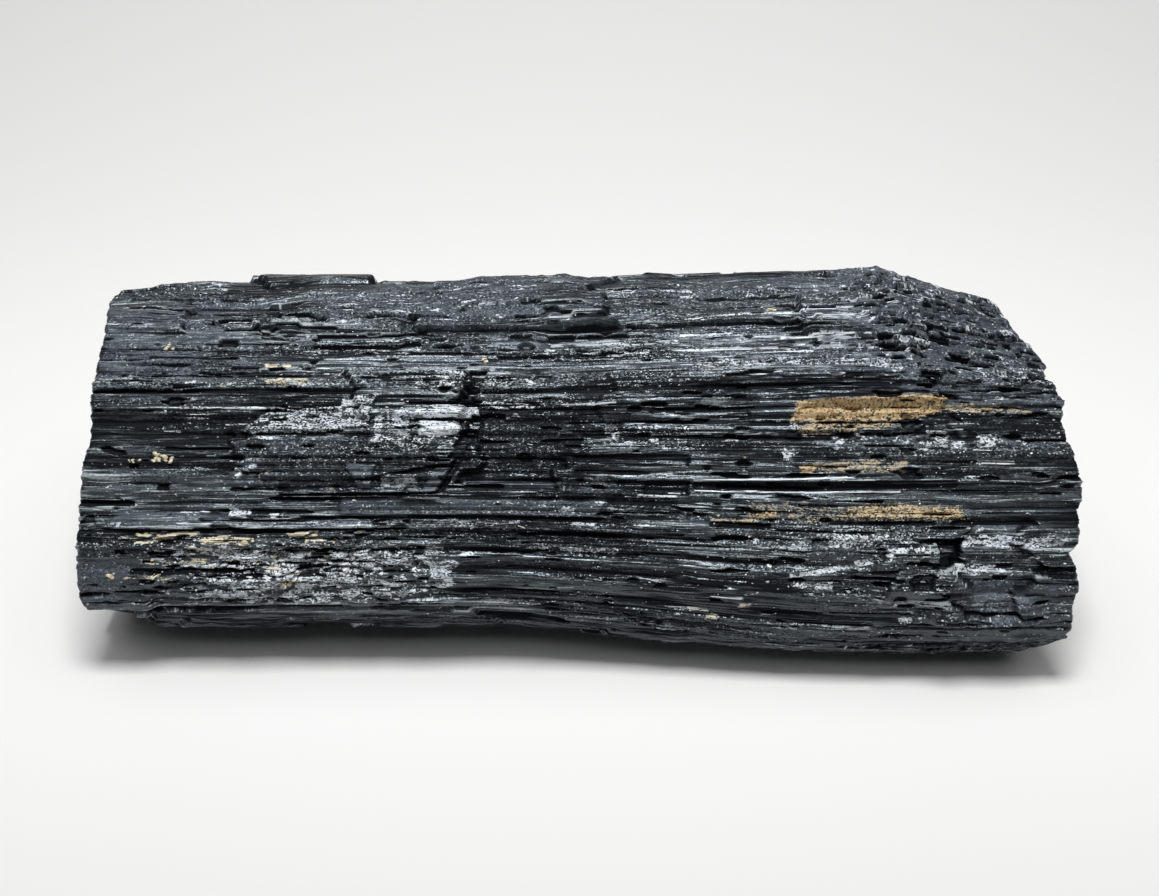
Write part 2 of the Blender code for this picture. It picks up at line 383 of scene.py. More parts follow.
@dataclass(frozen=True)
class Bundle:
    """Thin strands of one gauge, each broken into lengths that lie at different levels and tilts."""

    width: float
    length: float
    level: float
    groove: float
    tilt: float
    seed: int
    run: float = 0.5
    sway: float = 0.45
    jag: float = 1.6
    surplus: float = 2.2
    widths: tuple[float, float] = (0.55, 1.7)
    lengths: tuple[float, float] = (0.5, 1.8)
    depths: tuple[float, float] = (0.3, 1.3)
    chip_chance: float = 0.07
    chip_level: float = -2.6
    draws: int = 4096
    row_stride: int = 61
    piece_stride: int = 17

    def relief(self, girth: Array, x: Array, total: float) -> tuple[Array, Array]:
        """Height of the thin strands.

        Rows of random widths lie round the girth. Along a row a phase grows with x, and each whole
        number that it passes starts a new length with its own level and tilt; the level changes by a
        smoothstep. A groove, the sixth power of the distance from the row's middle, parts the rows, and
        its depth comes and goes along x.

        Args:
            girth: girth of each point.
            x: place along the log of each point.
            total: the full girth.

        Returns:
            Heights, and each point's level from -1 to 1.
        """
        random = np.random.RandomState(self.seed)
        count = int(self.surplus * total / self.width)
        widths = self.width * random.uniform(*self.widths, count)
        edges = np.concatenate([[-3 * self.width], -3 * self.width + np.cumsum(widths)])
        across = girth + self.sway * Cloud(self.seed + 1, across=9.0, along=34.0, octaves=2).at(girth, x)
        row = np.clip(np.searchsorted(edges, across, side="right") - 1, 0, count - 1)
        place = np.clip((across - edges[row]) / widths[row], 0.0, 1.0)

        lengths = self.length * random.uniform(*self.lengths, count)
        turn = random.uniform(0, 2 * np.pi, count)
        jagged = x + self.jag * Cloud(self.seed + 2, across=0.8, along=5.0, octaves=2).at(girth, x)
        phase = jagged / lengths[row] + random.uniform(0, 50, count)[row]
        phase = phase + 0.5 * np.sin(1.1 * jagged / lengths[row] + turn[row])
        piece = np.floor(phase).astype(int)
        rise = smoothstep(phase - piece, 1.0 - self.run / self.length, 1.0)

        levels = random.uniform(-1, 1, self.draws)
        chipped = random.random_sample(self.draws) < self.chip_chance
        levels = np.where(chipped, self.chip_level, levels)
        tilts = random.uniform(-1, 1, self.draws)
        here, after = ((row * self.row_stride + number * self.piece_stride) % self.draws
                       for number in (piece, piece + 1))
        level = levels[here] * (1 - rise) + levels[after] * rise
        tilt = tilts[here] * (1 - rise) + tilts[after] * rise
        uneven = 0.6 + 0.9 * Lattice(self.seed + 3).at(row * 3.1, x / 7.0)
        depth = self.groove * random.uniform(*self.depths, count)[row] * np.clip(uneven, 0.0, 1.5)
        edge = np.abs(2 * place - 1) ** 6
        height = self.level * level + self.tilt * tilt * (place - 0.5) * self.width - depth * edge
        return height, level


LOOKS = ("calm", "plain", "chunky", "gritty", "dust", "gloom", "silver", "glint", "ochre", "clay")
MARKS = ("crest", "hollow", "plank", "plain", "gritty", "dust", "gloom", "silver", "glint", "ochre", "clay")
PLACE = "place"


@dataclass(frozen=True)
class Facet:
    """A part of the skin with its own level and look, from left to right and from low to high in girth.

    Its ends lean, in millimetres of x for one of girth, and its sides drift, the other way about. A
    clean facet first wipes out what earlier ones did there, then the looks are added to the skin's
    marks of the same names.
    """

    left: float
    right: float
    low: float
    high: float
    rise: float = 0.0
    tilt: float = 0.0
    lean_left: float = 0.0
    lean_right: float = 0.0
    drift: float = 0.0
    soft: float = 0.3
    rag: float = 0.3
    clean: float = 0.0
    calm: float = 0.0
    plain: float = 0.0
    chunky: float = 0.0
    gritty: float = 0.0
    dust: float = 0.0
    gloom: float = 0.0
    silver: float = 0.0
    glint: float = 0.0
    ochre: float = 0.0
    clay: float = 0.0

    def add(self, layers: dict[str, Array], girth: Array, x: Array, ragged: Array) -> None:
        """Add the facet to the skin's layers.

        The cover is a smoothstep of the distance inside the four sides, which the ragged pattern
        shifts, twice as far along the log as across it.

        Args:
            layers: rise and the looks, which are changed in place.
            girth: girth of each row.
            x: place along the log of each point.
            ragged: roughness of the edges, from -1 to 1.
        """
        reach = 0.5 * abs(self.drift) * (self.right - self.left) + self.soft + self.rag
        start, end = np.searchsorted(girth, [self.low - reach, self.high + reach])
        if start >= end:
            return
        rows = slice(start, end)
        across, along, shift = girth[rows, None], x[rows], self.rag * ragged[rows]
        over = across - (self.low + self.high) / 2
        middle = over - self.drift * (along - (self.left + self.right) / 2)
        inside = (self.high - self.low) / 2 - np.abs(middle) + shift
        ahead = np.minimum(along - self.left - self.lean_left * over,
                           self.right + self.lean_right * over - along) + 2.0 * shift
        cover = smoothstep(inside, -self.soft / 2, self.soft / 2)
        cover = cover * smoothstep(ahead, -self.soft, self.soft)
        if self.clean:
            for layer in layers.values():
                layer[rows] *= 1.0 - self.clean * cover
        layers["rise"][rows] += cover * (self.rise + self.tilt * middle)
        for look in LOOKS:
            if getattr(self, look):
                layers[look][rows] += cover * getattr(self, look)


# Looks of painted shade in pits and slits: black and matte, with less dust and mica.
PIT_SHADE = {"gloom": 2.5, "dust": -1.5, "silver": -1.0, "plain": -1.0, "calm": 0.5}

# Broad zones of dust, grit and mica, and painted shade on the lower front, on the underside and on dark facets.
BROAD_ZONES = (
    Facet(-93, -62, 84, 121, soft=6, rag=1.5, dust=0.5, gritty=0.3, gloom=-0.3),
    Facet(-90, -72, 93, 101, soft=3, rag=1.5, dust=0.45),
    Facet(-110, -84, 114, 150, soft=12, rag=0.5, rise=-2.0),
    Facet(-70, -40, 119.6, 128, soft=0.6, calm=1.0, gloom=0.6, dust=-1, gritty=-1, chunky=-1),
    Facet(-40, 60, 112, 124, soft=3, rag=1, dust=0.35, calm=0.6, gloom=-0.5, gritty=0.3),
    Facet(20, 60, 88, 121, soft=5, rag=2, dust=0.20, silver=0.08, gloom=-0.2),
    Facet(12, 58, 94, 113, soft=4, rag=2, glint=0.28, silver=0.06),
    Facet(-52, -8, 108, 120, soft=3, rag=1.5, gritty=0.7, dust=0.75, silver=0.12, gloom=-0.7),
    Facet(-34, 6, 98, 111, soft=3, rag=1.5, dust=0.25, gloom=-0.3),
    Facet(56, 96, 87, 132, soft=5, rag=2, gritty=0.4, dust=0.8, silver=0.20, chunky=0.5, plain=0.3,
          gloom=-1.2, calm=-1.0),
    Facet(-80, -26, 47, 61, soft=4, rag=1.5, chunky=0.8, gritty=0.4, dust=0.3, silver=0.55, calm=-0.5,
          gloom=-0.9),
    Facet(26, 68, 55, 66, soft=2, rag=1.5, chunky=0.5, gritty=0.5, silver=0.06, calm=-0.6, gloom=-0.1),
    Facet(-2, 86, 88.4, 92.2, soft=1.2, rag=0.8, gloom=1.1, dust=-0.4, glint=-0.4, silver=-0.4),
    Facet(-70, -38, 108.6, 113.2, soft=1.2, rag=1.0, gloom=0.5, gritty=0.6),
    Facet(-68, -20, 98.6, 100.2, soft=0.8, rag=0.8, gloom=0.8, plain=0.5),
    Facet(-93, -60, 84.4, 87.2, soft=0.8, rag=0.5, gloom=0.8),
    Facet(40, 96, 42, 50, soft=3, gloom=0.25),
    Facet(-22, 2, 72, 89, soft=2, rag=0.8, gloom=0.9, gritty=0.8, calm=0.3, dust=-0.3),
    Facet(4, 92, 70, 88, soft=4, rag=1, gloom=0.25, dust=-0.15),
    Facet(-93, -58, 79.3, 86.2, soft=1, rag=0.5, rise=-0.4, gloom=0.9, calm=0.6),
    Facet(-91, -44, 87.4, 91, soft=0.6, gloom=0.7),
    Facet(-30, 40, 46, 59, soft=5, rag=1, gloom=0.35, calm=0.4),
    Facet(-74, -64, 70, 75.5, soft=1, calm=0.6, dust=0.15),
    Facet(-85, -62, 65, 68.3, soft=0.8, calm=0.8, dust=0.35, gloom=-0.5),
    Facet(5, 58, 96, 113, soft=3, rag=1, dust=0.15, gloom=-0.2),
    Facet(8, 36, 103, 118, soft=2, rag=1, calm=0.5, dust=0.1, gritty=0.4),
    Facet(28, 60, 87.5, 94, soft=1, rag=0.6, gloom=0.75),
    Facet(22, 60, 94.5, 96.6, soft=0.6, rag=0.8, silver=0.5, gritty=0.8, gloom=-1.0),
    Facet(68, 91, 57, 66, soft=1.5, silver=0.25, calm=0.4, gloom=-0.6),
    Facet(-74, 20, 32, 43, soft=3, calm=0.7, gloom=0.55, dust=-0.1),
    Facet(20, 92, 32, 43, soft=3, gloom=0.5, dust=-0.2),
    Facet(68, 93, 39, 57, soft=3, rag=1.5, gritty=0.3, dust=0.5, chunky=0.5),
    Facet(-94, -84, 42, 57, soft=2, rag=1, gritty=0.6, dust=0.6, chunky=0.4, gloom=-0.6),
)

USUAL_RAG = 0.3


def alike(look: str, *rows: tuple[float, ...], **looks: float) -> tuple[Facet, ...]:
    """Make facets of one kind.

    Args:
        look: the value that the fifth number of each row sets.
        rows: the four sides, that value and, where it isn't the usual one, the raggedness.
        looks: the values that all the facets share.

    Returns:
        A facet for each row.
    """
    return tuple(Facet(*row[:4], **{look: row[4]}, rag=(row + (USUAL_RAG,))[5], **looks) for row in rows)


SWELLS = (
    *alike("plain", (-98, -60, 49.0, 51.0, 1.0, 0.2), rise=0.3, soft=1.0, gloom=-1),
    *alike("plain", (54, 96, 44.2, 47.6, 1.0), (62, 96, 48.8, 51.4, 0.9), rise=0.3, soft=1.0, gloom=-0.7),
    *alike("rise", (-34, -7, 100.5, 104.9, 0.9), (-34, -7, 105.1, 110, -0.8), soft=2, plain=0.6, gloom=-0.5),
    *alike("rise", (66, 84, 48.5, 53.5, 1.3), (54, 70, 52.5, 57.0, 0.7), soft=2.5, gloom=-0.5),
    *alike("rise", (20, 84, 33, 42, -0.7), (-22, 0, 110, 126, 0.9), (48, 66, 58, 64, 0.8), soft=3),
    Facet(-98, -46, 57.6, 60.9, rise=0.3, soft=1.0, rag=0.2, plain=1.0, gloom=-1, dust=0.2),
    Facet(-98, -80, 43.5, 49, soft=1.5, rise=1.2),
    Facet(56, 96, 54.0, 56.0, rise=0.2, soft=1.0, plain=1.0, gloom=-1),
    Facet(18, 58, 108, 128, soft=8, rise=-1.5),
    Facet(-80, -56, 110, 126, soft=5, rise=-1.1),
    Facet(-98, -70, 47.5, 56.5, soft=2.5, rag=1.0, plain=0.8, dust=0.3, silver=-0.4),
)

SLABS = (
    Facet(-82, -58, 86.6, 87.1, glint=0.9),
    Facet(-60, -38, 81.6, 87.0, rise=0.4, silver=0.55, gritty=0.9, rag=1.0, lean_left=1.2, clean=0.8),
    Facet(-54.5, -38, 83.0, 86.8, silver=0.5, gritty=0.3, rag=1.0, lean_left=0.8, lean_right=0.8),
    Facet(-44, -37.5, 87, 88.8, rise=0.3, silver=0.9, rag=0.7, clean=1.0, plain=0.5),
    Facet(-38, -31.5, 81, 86, silver=0.7, rag=0.6, clean=0.8, glint=0.3),
    Facet(-61.5, -52, 80.2, 81.5, silver=0.55, plain=0.7, drift=0.05, rag=0.5, clean=1.0),
    Facet(-63.5, -43.5, 70.8, 80.6, rise=-0.3, tilt=0.06, plain=1.0, gritty=0.8, dust=0.25, clay=0.12,
          chunky=0.35, rag=1.0, soft=0.5, clean=1.0, lean_left=-0.3),
    Facet(-64.5, -59, 71.2, 77, silver=0.35, dust=0.5, plain=1.0, rag=0.8, clean=0.8, lean_left=0.6),
    Facet(-44, -26, 71.0, 80.8, gritty=0.7, gloom=0.35, plain=0.7, rag=0.8, clean=0.8),
    Facet(-41.8, -38.0, 71.6, 75.8, rise=0.35, plain=1.0, dust=0.9, silver=0.3, rag=0.4, clean=1.0,
          lean_left=-0.5, lean_right=0.3),
    Facet(-37, -30.0, 71.6, 73.9, silver=0.8, glint=0.5, rag=0.5, clean=1.0),
    Facet(-40, -22, 79.2, 81.2, silver=0.5, rag=0.9, gritty=0.5),
    Facet(-32.5, -18.6, 84.6, 87.0, rise=0.6, silver=0.75, glint=0.7, calm=0.9, rag=0.2, clean=1.0),
    Facet(-29.5, -22.0, 81.2, 84.1, rise=0.2, silver=0.7, glint=0.9, calm=0.8, rag=0.3, clean=1.0),
    Facet(-20, -4, 73.6, 84, gritty=0.9, gloom=0.5, plain=0.7, rag=0.8, soft=0.6, clean=0.7),
    Facet(-23.8, -21.2, 70.3, 85.4, rise=-0.9, lean_left=0.53, lean_right=0.53, gloom=1.0, rag=0.45,
          clean=1.0),
    Facet(-27.5, -24.6, 70.6, 77, lean_left=0.53, lean_right=0.53, dust=0.5, plain=1.0, clean=1.0),
    Facet(-17.5, -15.5, 73.5, 73.9, glint=1.0),
    Facet(-21, -3.5, 71.0, 73.3, rise=-0.3, plain=1.0, gloom=0.25, dust=0.3, lean_right=0.5, rag=0.15,
          clean=1.0),
    Facet(-57, -44, 69.2, 69.7, rise=-0.6, **PIT_SHADE),
    Facet(-47.5, -46, 69.8, 71, dust=0.9, rag=0.4, gloom=-1),
    Facet(-44, 5, 66.2, 69.3, rise=0.5, plain=0.8, calm=0.5, dust=0.55, gritty=0.5, silver=0.12, rag=0.2,
          clean=0.8),
    Facet(42, 51, 60.6, 64.6, silver=0.25, plain=0.6, dust=0.4, rag=0.9, gloom=-1),
    Facet(56.5, 63.5, 59.2, 61.3, gloom=1.2, dust=-0.5, silver=-0.6, rag=0.4),
    Facet(50, 57, 60.0, 61.2, drift=0.26, rise=0.35, silver=1.6, plain=0.8, gloom=-1.5, clean=0.8),
    Facet(56, 63, 62.1, 62.8, drift=0.04, rise=0.35, silver=1.3, plain=0.8, gloom=-1.5, clean=0.8),
    Facet(62, 66.5, 61.5, 62.2, drift=-0.35, rise=0.35, silver=1.1, plain=0.8, gloom=-1.5, clean=0.8),
    Facet(52, 62, 58.6, 61.4, dust=0.6, gritty=0.4, calm=0.8, gloom=-1, rag=0.6),
    Facet(38.5, 50, 58.0, 58.8, drift=0.2, silver=1.2, plain=0.8, rag=0.2, gloom=-1, clean=0.8),
)

# Pits and slits sunk into the skin, with painted shade in them.
PITS = (
    *alike("rise", (-87, -77, 111.6, 112.4, -0.8), (-68.3, -65, 101.5, 103.3, -1.0), (-50, -29, 103.5, 104.5, -1.0),
           (-50, -30, 101.0, 101.8, -1.0), (-92, -82, 68.0, 69.1, -1.2), (-64, -56, 71.0, 71.5, -0.6),
           (-77.5, -75.8, 71.0, 72.1, -1.0), (-83, -60, 54.2, 55.2, -0.7, 0.6), (-68, -60, 53.0, 55.0, -0.9, 1.0),
           (-2, 2, 113.6, 114.7, -1.0), (-1, 6, 106.8, 108.2, -1.0), (6.5, 14, 114.6, 115.4, -1.0),
           (-6, -1, 102.4, 103.9, -1.1), (0, 9, 102.8, 103.7, -1.0), (-15, -10, 98.3, 98.9, -0.8),
           (-9, -5, 98.2, 98.9, -0.8), (0, 8, 98.4, 99.2, -0.9), (-1, 20, 76.0, 77.9, -0.7),
           (-1, 13, 74.4, 75.0, -0.5), (12, 20, 70.9, 73.4, -0.8), (24, 35, 65.5, 66.3, -0.9),
           (39, 51, 103.1, 103.9, -0.8), (63, 66.5, 100.9, 102.8, -1.6, 0.6), (58, 61, 101.2, 102.3, -1.3, 0.5),
           (68.8, 73, 101.0, 103.3, -1.6, 0.6), (72, 75.5, 97.3, 98.8, -1.4, 0.6), (64, 68, 91.8, 93.3, -1.4, 0.6),
           (53, 65, 66.5, 67.0, -0.7, 0.1), (65.5, 70.3, 59.2, 64.0, -1.8, 0.6), (61, 64.5, 55.6, 58.6, -1.2, 0.6),
           (50, 59, 57.1, 57.7, -0.6), (86, 90.5, 57.3, 59.0, -1.0), **PIT_SHADE),
    Facet(-70, -57.5, 107.6, 110.2, rise=-0.9, lean_left=0.5, **PIT_SHADE),
    Facet(-52, -46, 55.0, 56.2, rise=-0.9, rag=0.8, drift=0.1, **PIT_SHADE),
    Facet(-21.5, -18.8, 87.5, 95.2, rise=-1.3, lean_left=0.3, lean_right=0.3, rag=0.5, **PIT_SHADE),
    Facet(21, 69, 72.4, 73.6, rise=-0.7, drift=0.015, rag=0.1, **PIT_SHADE),
    Facet(-44, 6, 65.4, 66.1, rise=-0.5, gloom=0.7),
    Facet(10, 45, 104.9, 105.5, rise=-0.6, gloom=0.9),
)

# Painted highlight lines along the strands.
GLINTS = (
    *alike("glint", (-50, -30, 102.4, 102.9, 0.5), (-42, -30, 100.2, 100.7, 0.8), (-72, -68, 88.5, 88.9, 0.8),
           (-71, -68.4, 75.0, 75.4, 1.0), (-4.5, 7, 87.3, 87.8, 0.8), (7, 20, 91.0, 91.6, 0.7, 0.4),
           (-21, -3.5, 70.6, 71.0, 0.45), (-44, -8, 69.2, 69.6, 0.5), (-2, 3, 64.7, 65.2, 1.0),
           (-20, -11, 64.5, 64.9, 0.6), (4, 20, 83.5, 83.9, 0.6), (7, 16, 79.6, 80.1, 0.6),
           (24, 30, 52.3, 52.7, 0.9), (-25, -7, 46.7, 47.2, 0.9, 0.4), (-5, 3, 46.9, 47.3, 0.7, 0.5),
           (0, 57, 98.8, 99.4, 0.5, 0.4), (38, 51, 101.4, 102.0, 0.7), (28, 58, 106.5, 107.4, 0.45, 0.5),
           (73, 80, 76.8, 77.3, 0.8)),
    Facet(10.5, 18, 70.3, 70.8, rise=0.3, glint=1.0, rag=0.1),
    Facet(21, 50.5, 73.8, 74.2, rise=0.2, drift=0.03, glint=1.0, rag=0.08, soft=0.2),
    Facet(21, 59, 71.7, 72.1, rise=0.2, drift=0.01, glint=0.9, rag=0.08, soft=0.2),
    Facet(59, 73, 83.1, 83.5, drift=0.05, glint=0.6, rag=0.1),
)

MICA = (
    *alike("silver", (-64, -60.5, 66.2, 67.3, 1.0, 0.6), (-19, -8, 92, 94, 0.65, 0.6),
           (37, 39.7, 77, 79.6, 0.8, 0.7), (39, 47, 55.3, 56.2, 0.9, 0.5), (69, 71.5, 52.2, 53.2, 1.0, 0.4),
           gloom=-1),
    *alike("silver", (-57, -54, 65.5, 67, 0.7, 0.6), (-72, -58, 47.0, 49.6, 0.5, 1.0),
           (-27, -23, 51.0, 56.5, 0.6, 0.9), (-30, -20, 58.3, 59.6, 0.6, 0.7), (50, 56, 54.7, 55.5, 0.7, 0.5),
           (68, 78, 57.9, 59.3, 0.7, 0.5), (59.5, 61.5, 48.6, 49.7, 1.0, 0.5)),
    *alike("silver", (73, 76.5, 79.5, 82.0, 0.6, 0.9), (39, 41.5, 82.2, 84.2, 0.9, 0.7), rise=0.3, gloom=-1),
    Facet(64, 67.6, 79.4, 82.2, rise=0.4, silver=0.9, rag=0.9, gloom=-1),
    Facet(-46.5, -41, 52.4, 54.6, rise=0.4, silver=0.95, rag=0.7),
    Facet(-85, -60, 91.2, 92.5, silver=0.45, clay=0.25, rag=0.8),
    Facet(-62, -56, 56.4, 59.6, rise=0.4, silver=0.9, clay=0.3, rag=0.9),
    Facet(-56, -49, 56.8, 58.6, rise=0.3, silver=0.8, clay=0.2, rag=0.8, drift=0.1),
    Facet(-44, -35, 55.0, 60.0, silver=0.7, dust=0.5, gritty=1.0, rag=1.2),
    Facet(-73, -63, 51.4, 53.8, silver=0.6, drift=-0.12, rag=0.9),
    Facet(-30, -21, 90.6, 95, silver=0.7, gritty=0.9, gloom=-1, rag=0.6),
    Facet(-18, -10, 86.9, 89, rise=0.3, silver=0.75, gritty=1.0, rag=0.6, gloom=-1),
    Facet(-9.5, -3, 87, 89, silver=0.5, gritty=0.8, rag=0.6),
    Facet(-10, 7, 59.1, 60.4, silver=0.75, clay=0.12, gritty=1.0, rag=0.8, gloom=-1),
    Facet(4.5, 20, 79.9, 83.4, silver=0.45, gritty=0.8, rag=0.5, gloom=-0.5),
    Facet(46, 71, 78.6, 81.8, soft=0.6, rag=0.9, silver=0.35, gritty=0.6, dust=0.5, gloom=-0.6, chunky=0.5,
          calm=-0.3, plain=0.4),
    Facet(73, 88, 78.6, 81.8, soft=0.6, rag=0.9, silver=0.25, gritty=0.5, dust=0.5, gloom=-0.5, chunky=0.4,
          plain=0.4),
    Facet(70, 89, 62.6, 64.6, silver=0.55, calm=0.5, rag=0.4),
    Facet(16, 25.5, 48.6, 49.1, silver=0.4, clay=0.4, glint=0.4, rag=0.4, gloom=-1),
    Facet(29.5, 31.6, 50.4, 51.6, clay=0.7, silver=0.3, rag=0.4, gloom=-1),
    *(Facet(45.6 + 1.1 * k, 46.2 + 1.1 * k, 60.6, 64.8, lean_left=-1.3, lean_right=1.3, rise=0.2, silver=0.9,
            glint=0.3, soft=0.15, rag=0.15, gloom=-1) for k in range(8)),
)

EARTHS = (
    *alike("clay", (-59, -54, 96.1, 96.8, 1.0), (-58, -51, 91.9, 92.8, 0.7, 0.9), (-80, -76, 61, 61.5, 0.7, 0.5),
           (-69, -61, 60.6, 61.3, 0.9, 0.4), (-69, -60, 61.4, 62.0, 1.0, 0.4), (-50, -44, 61, 61.6, 1.0, 0.5),
           (-80, -70, 56.0, 56.8, 0.6, 0.9), (-84, -75, 53.2, 53.9, 0.6, 0.6), (36, 38, 109.6, 110.5, 0.9, 0.5)),
    Facet(-80, -70, 62.2, 62.9, clay=0.7, ochre=0.2, rag=0.5),
    Facet(23.6, 25.8, 46.8, 48.4, clay=0.75, rag=0.4, gloom=-1),
    *alike("ochre", (-55, -52, 51.6, 52.6, 0.9, 0.6), (24, 33, 66.4, 66.9, 0.55), (40.3, 43, 74.9, 76.6, 0.7, 0.7),
           (31, 36.5, 66.9, 68.4, 0.4, 0.6), (49, 70, 67.6, 69.7, 0.36, 0.5)),
    Facet(39.6, 66.5, 84.5, 88.0, drift=0.04, ochre=1.0, gritty=0.5, calm=0.7, gloom=-1, rag=0.4, soft=0.5,
          lean_left=0.4, lean_right=1.0),
    Facet(40, 58.5, 81.9, 84.9, drift=0.05, ochre=0.62, gritty=0.9, chunky=0.4, gloom=-0.4, rag=1.3, soft=0.8,
          lean_right=2.5),
    Facet(66, 82, 85.6, 86.9, ochre=0.60, rag=0.4, gloom=-1, lean_right=-3),
    Facet(43.5, 60, 75.2, 77.3, ochre=0.5, rag=0.9, gloom=-0.5),
    Facet(30, 71, 66.9, 70.0, ochre=0.34, soft=0.8, rag=0.8, gloom=-0.3, gritty=0.8, dust=0.2),
)

SCUFFS = (
    Facet(-82.6, -74.5, 71.6, 74.6, dust=1.4, gritty=0.6, calm=0.8, rag=1.0, gloom=-1),
    Facet(-60, -40, 43.2, 46, calm=0.9, dust=0.35, soft=0.6, gloom=-0.5),
    Facet(-4, 7, 71.0, 73.6, dust=0.35, gritty=0.8, calm=0.8, lean_left=0.5, gloom=-0.5),
    Facet(5.5, 18, 67.4, 70.1, gritty=0.8, gloom=0.4, calm=0.6, lean_left=-1.0),
    Facet(60, 88.5, 81.9, 84.9, calm=1.0, gloom=0.6),
)


@dataclass(frozen=True)
class Strewn:
    """Facets of one kind, drawn at random over a stretch of the skin."""

    count: int
    left: float
    right: float
    low: float
    high: float
    lengths: tuple[float, float]
    widths: tuple[float, float]
    rises: tuple[float, float]
    looks: Mapping[str, float]
    seed: int

    def facets(self) -> tuple[Facet, ...]:
        """Draw the facets.

        Returns:
            The facets, whose middles lie within the stretch.
        """
        random = np.random.RandomState(self.seed)
        x = random.uniform(self.left, self.right, self.count)
        girth = random.uniform(self.low, self.high, self.count)
        spread = random.uniform(0.0, 1.0, (3, self.count)) ** 1.5
        length, width, rise = (low + (high - low) * share for (low, high), share in
                               zip((self.lengths, self.widths, self.rises), spread))
        lean = random.uniform(-0.8, 0.8, (2, self.count))
        return tuple(
            Facet(x[k] - length[k] / 2, x[k] + length[k] / 2, girth[k] - width[k] / 2, girth[k] + width[k] / 2,
                  rise=rise[k], lean_left=lean[0, k], lean_right=lean[1, k], soft=0.2, rag=0.25, **self.looks)
            for k in range(self.count))


STREWN = (
    # Pits in the lower iron stain, with painted shade in them.
    Strewn(34, 40, 66, 80.6, 85.0, (0.6, 2.2), (0.3, 0.8), (-0.3, -0.8), {"gloom": 1.0, "ochre": -0.3}, 211),
    Strewn(34, -84, -40, 54.0, 63.4, (0.8, 4.6), (0.16, 0.55), (0.1, 0.4), {"clay": 1.3, "gloom": -2.0}, 209),
    Strewn(9, -80, -44, 60.4, 62.6, (1.5, 4.0), (0.25, 0.6), (0.2, 0.4), {"clay": 1.1, "gloom": -2.0}, 210),
    # Strewn pits and slits with painted shade in them, and thin lines of painted shade.
    Strewn(64, 54, 92, 88, 122, (1.0, 4.6), (0.40, 1.1), (-0.5, -1.3), PIT_SHADE, 201),
    Strewn(30, 58, 76, 94, 116, (1.0, 3.6), (0.5, 1.2), (-0.6, -1.4), PIT_SHADE, 214),
    Strewn(60, 54, 92, 87, 122, (2.0, 9.0), (0.18, 0.42), (-0.3, -0.8), {"gloom": 1.5}, 215),
    Strewn(90, 54, 92, 86, 122, (2.5, 12.0), (0.5, 1.5), (0.1, 0.6),
           {"dust": 0.5, "silver": 0.1, "gloom": -0.8, "plain": 0.4}, 202),
    Strewn(110, -88, 60, 62, 120, (4.0, 24.0), (0.18, 0.42), (-0.3, -0.8), {"gloom": 1.5}, 203),
    # Strewn painted highlight lines.
    Strewn(90, -88, 86, 62, 116, (2.0, 14.0), (0.14, 0.34), (0.0, 0.15), {"glint": 0.95}, 204),
    Strewn(60, -50, 56, 92, 118, (3.0, 16.0), (0.14, 0.36), (0.0, 0.15), {"glint": 0.9}, 212),
    Strewn(40, 56, 90, 86, 122, (0.8, 4.0), (0.2, 0.9), (0.1, 0.4), {"silver": 0.6, "gloom": -1.0}, 213),
    Strewn(60, -86, 86, 46, 110, (0.8, 3.0), (0.3, 0.8), (-0.3, -1.0), PIT_SHADE, 205),
    Strewn(34, -78, -28, 47, 60, (1.6, 7.0), (0.6, 2.0), (0.1, 0.6),
           {"silver": 0.55, "gloom": -1.0, "plain": 0.8}, 206),
    Strewn(22, -78, -28, 47, 60, (2.0, 7.0), (0.6, 1.8), (-0.1, -0.4), {"silver": -0.7, "plain": 0.6}, 208),
    Strewn(45, -80, -28, 47, 60, (1.0, 5.0), (0.25, 0.6), (-0.3, -0.9), PIT_SHADE, 207),
)

FACETS = (BROAD_ZONES + tuple(facet for strewn in STREWN for facet in strewn.facets())
          + SWELLS + SLABS + PITS + GLINTS + MICA + EARTHS + SCUFFS)


# ---------------------------------------------------------------------------------------------
# Meshes
# ---------------------------------------------------------------------------------------------


def grid_normals(points: Array) -> Array:
    """Unit normals of a grid that closes on itself: the cross product of its two central differences.

    Args:
        points: rows round the log, the last a repeat of the first, and columns along it.

    Returns:
        Normals of the shape of points.
    """
    ring = np.concatenate([points[-2:-1], points, points[1:2]])
    across = ring[2:] - ring[:-2]
    normals = np.cross(np.gradient(points, axis=1), across)
    return normals / np.maximum(np.linalg.norm(normals, axis=-1, keepdims=True), 1e-9)


def grid_faces(rows: int, width: int) -> Array:
    """Corner indices of a grid's faces, one face per row."""
    index = np.arange(rows * width).reshape(rows, width)
    return np.stack([index[:-1, :-1], index[:-1, 1:], index[1:, 1:], index[1:, :-1]], -1).reshape(-1, 4)


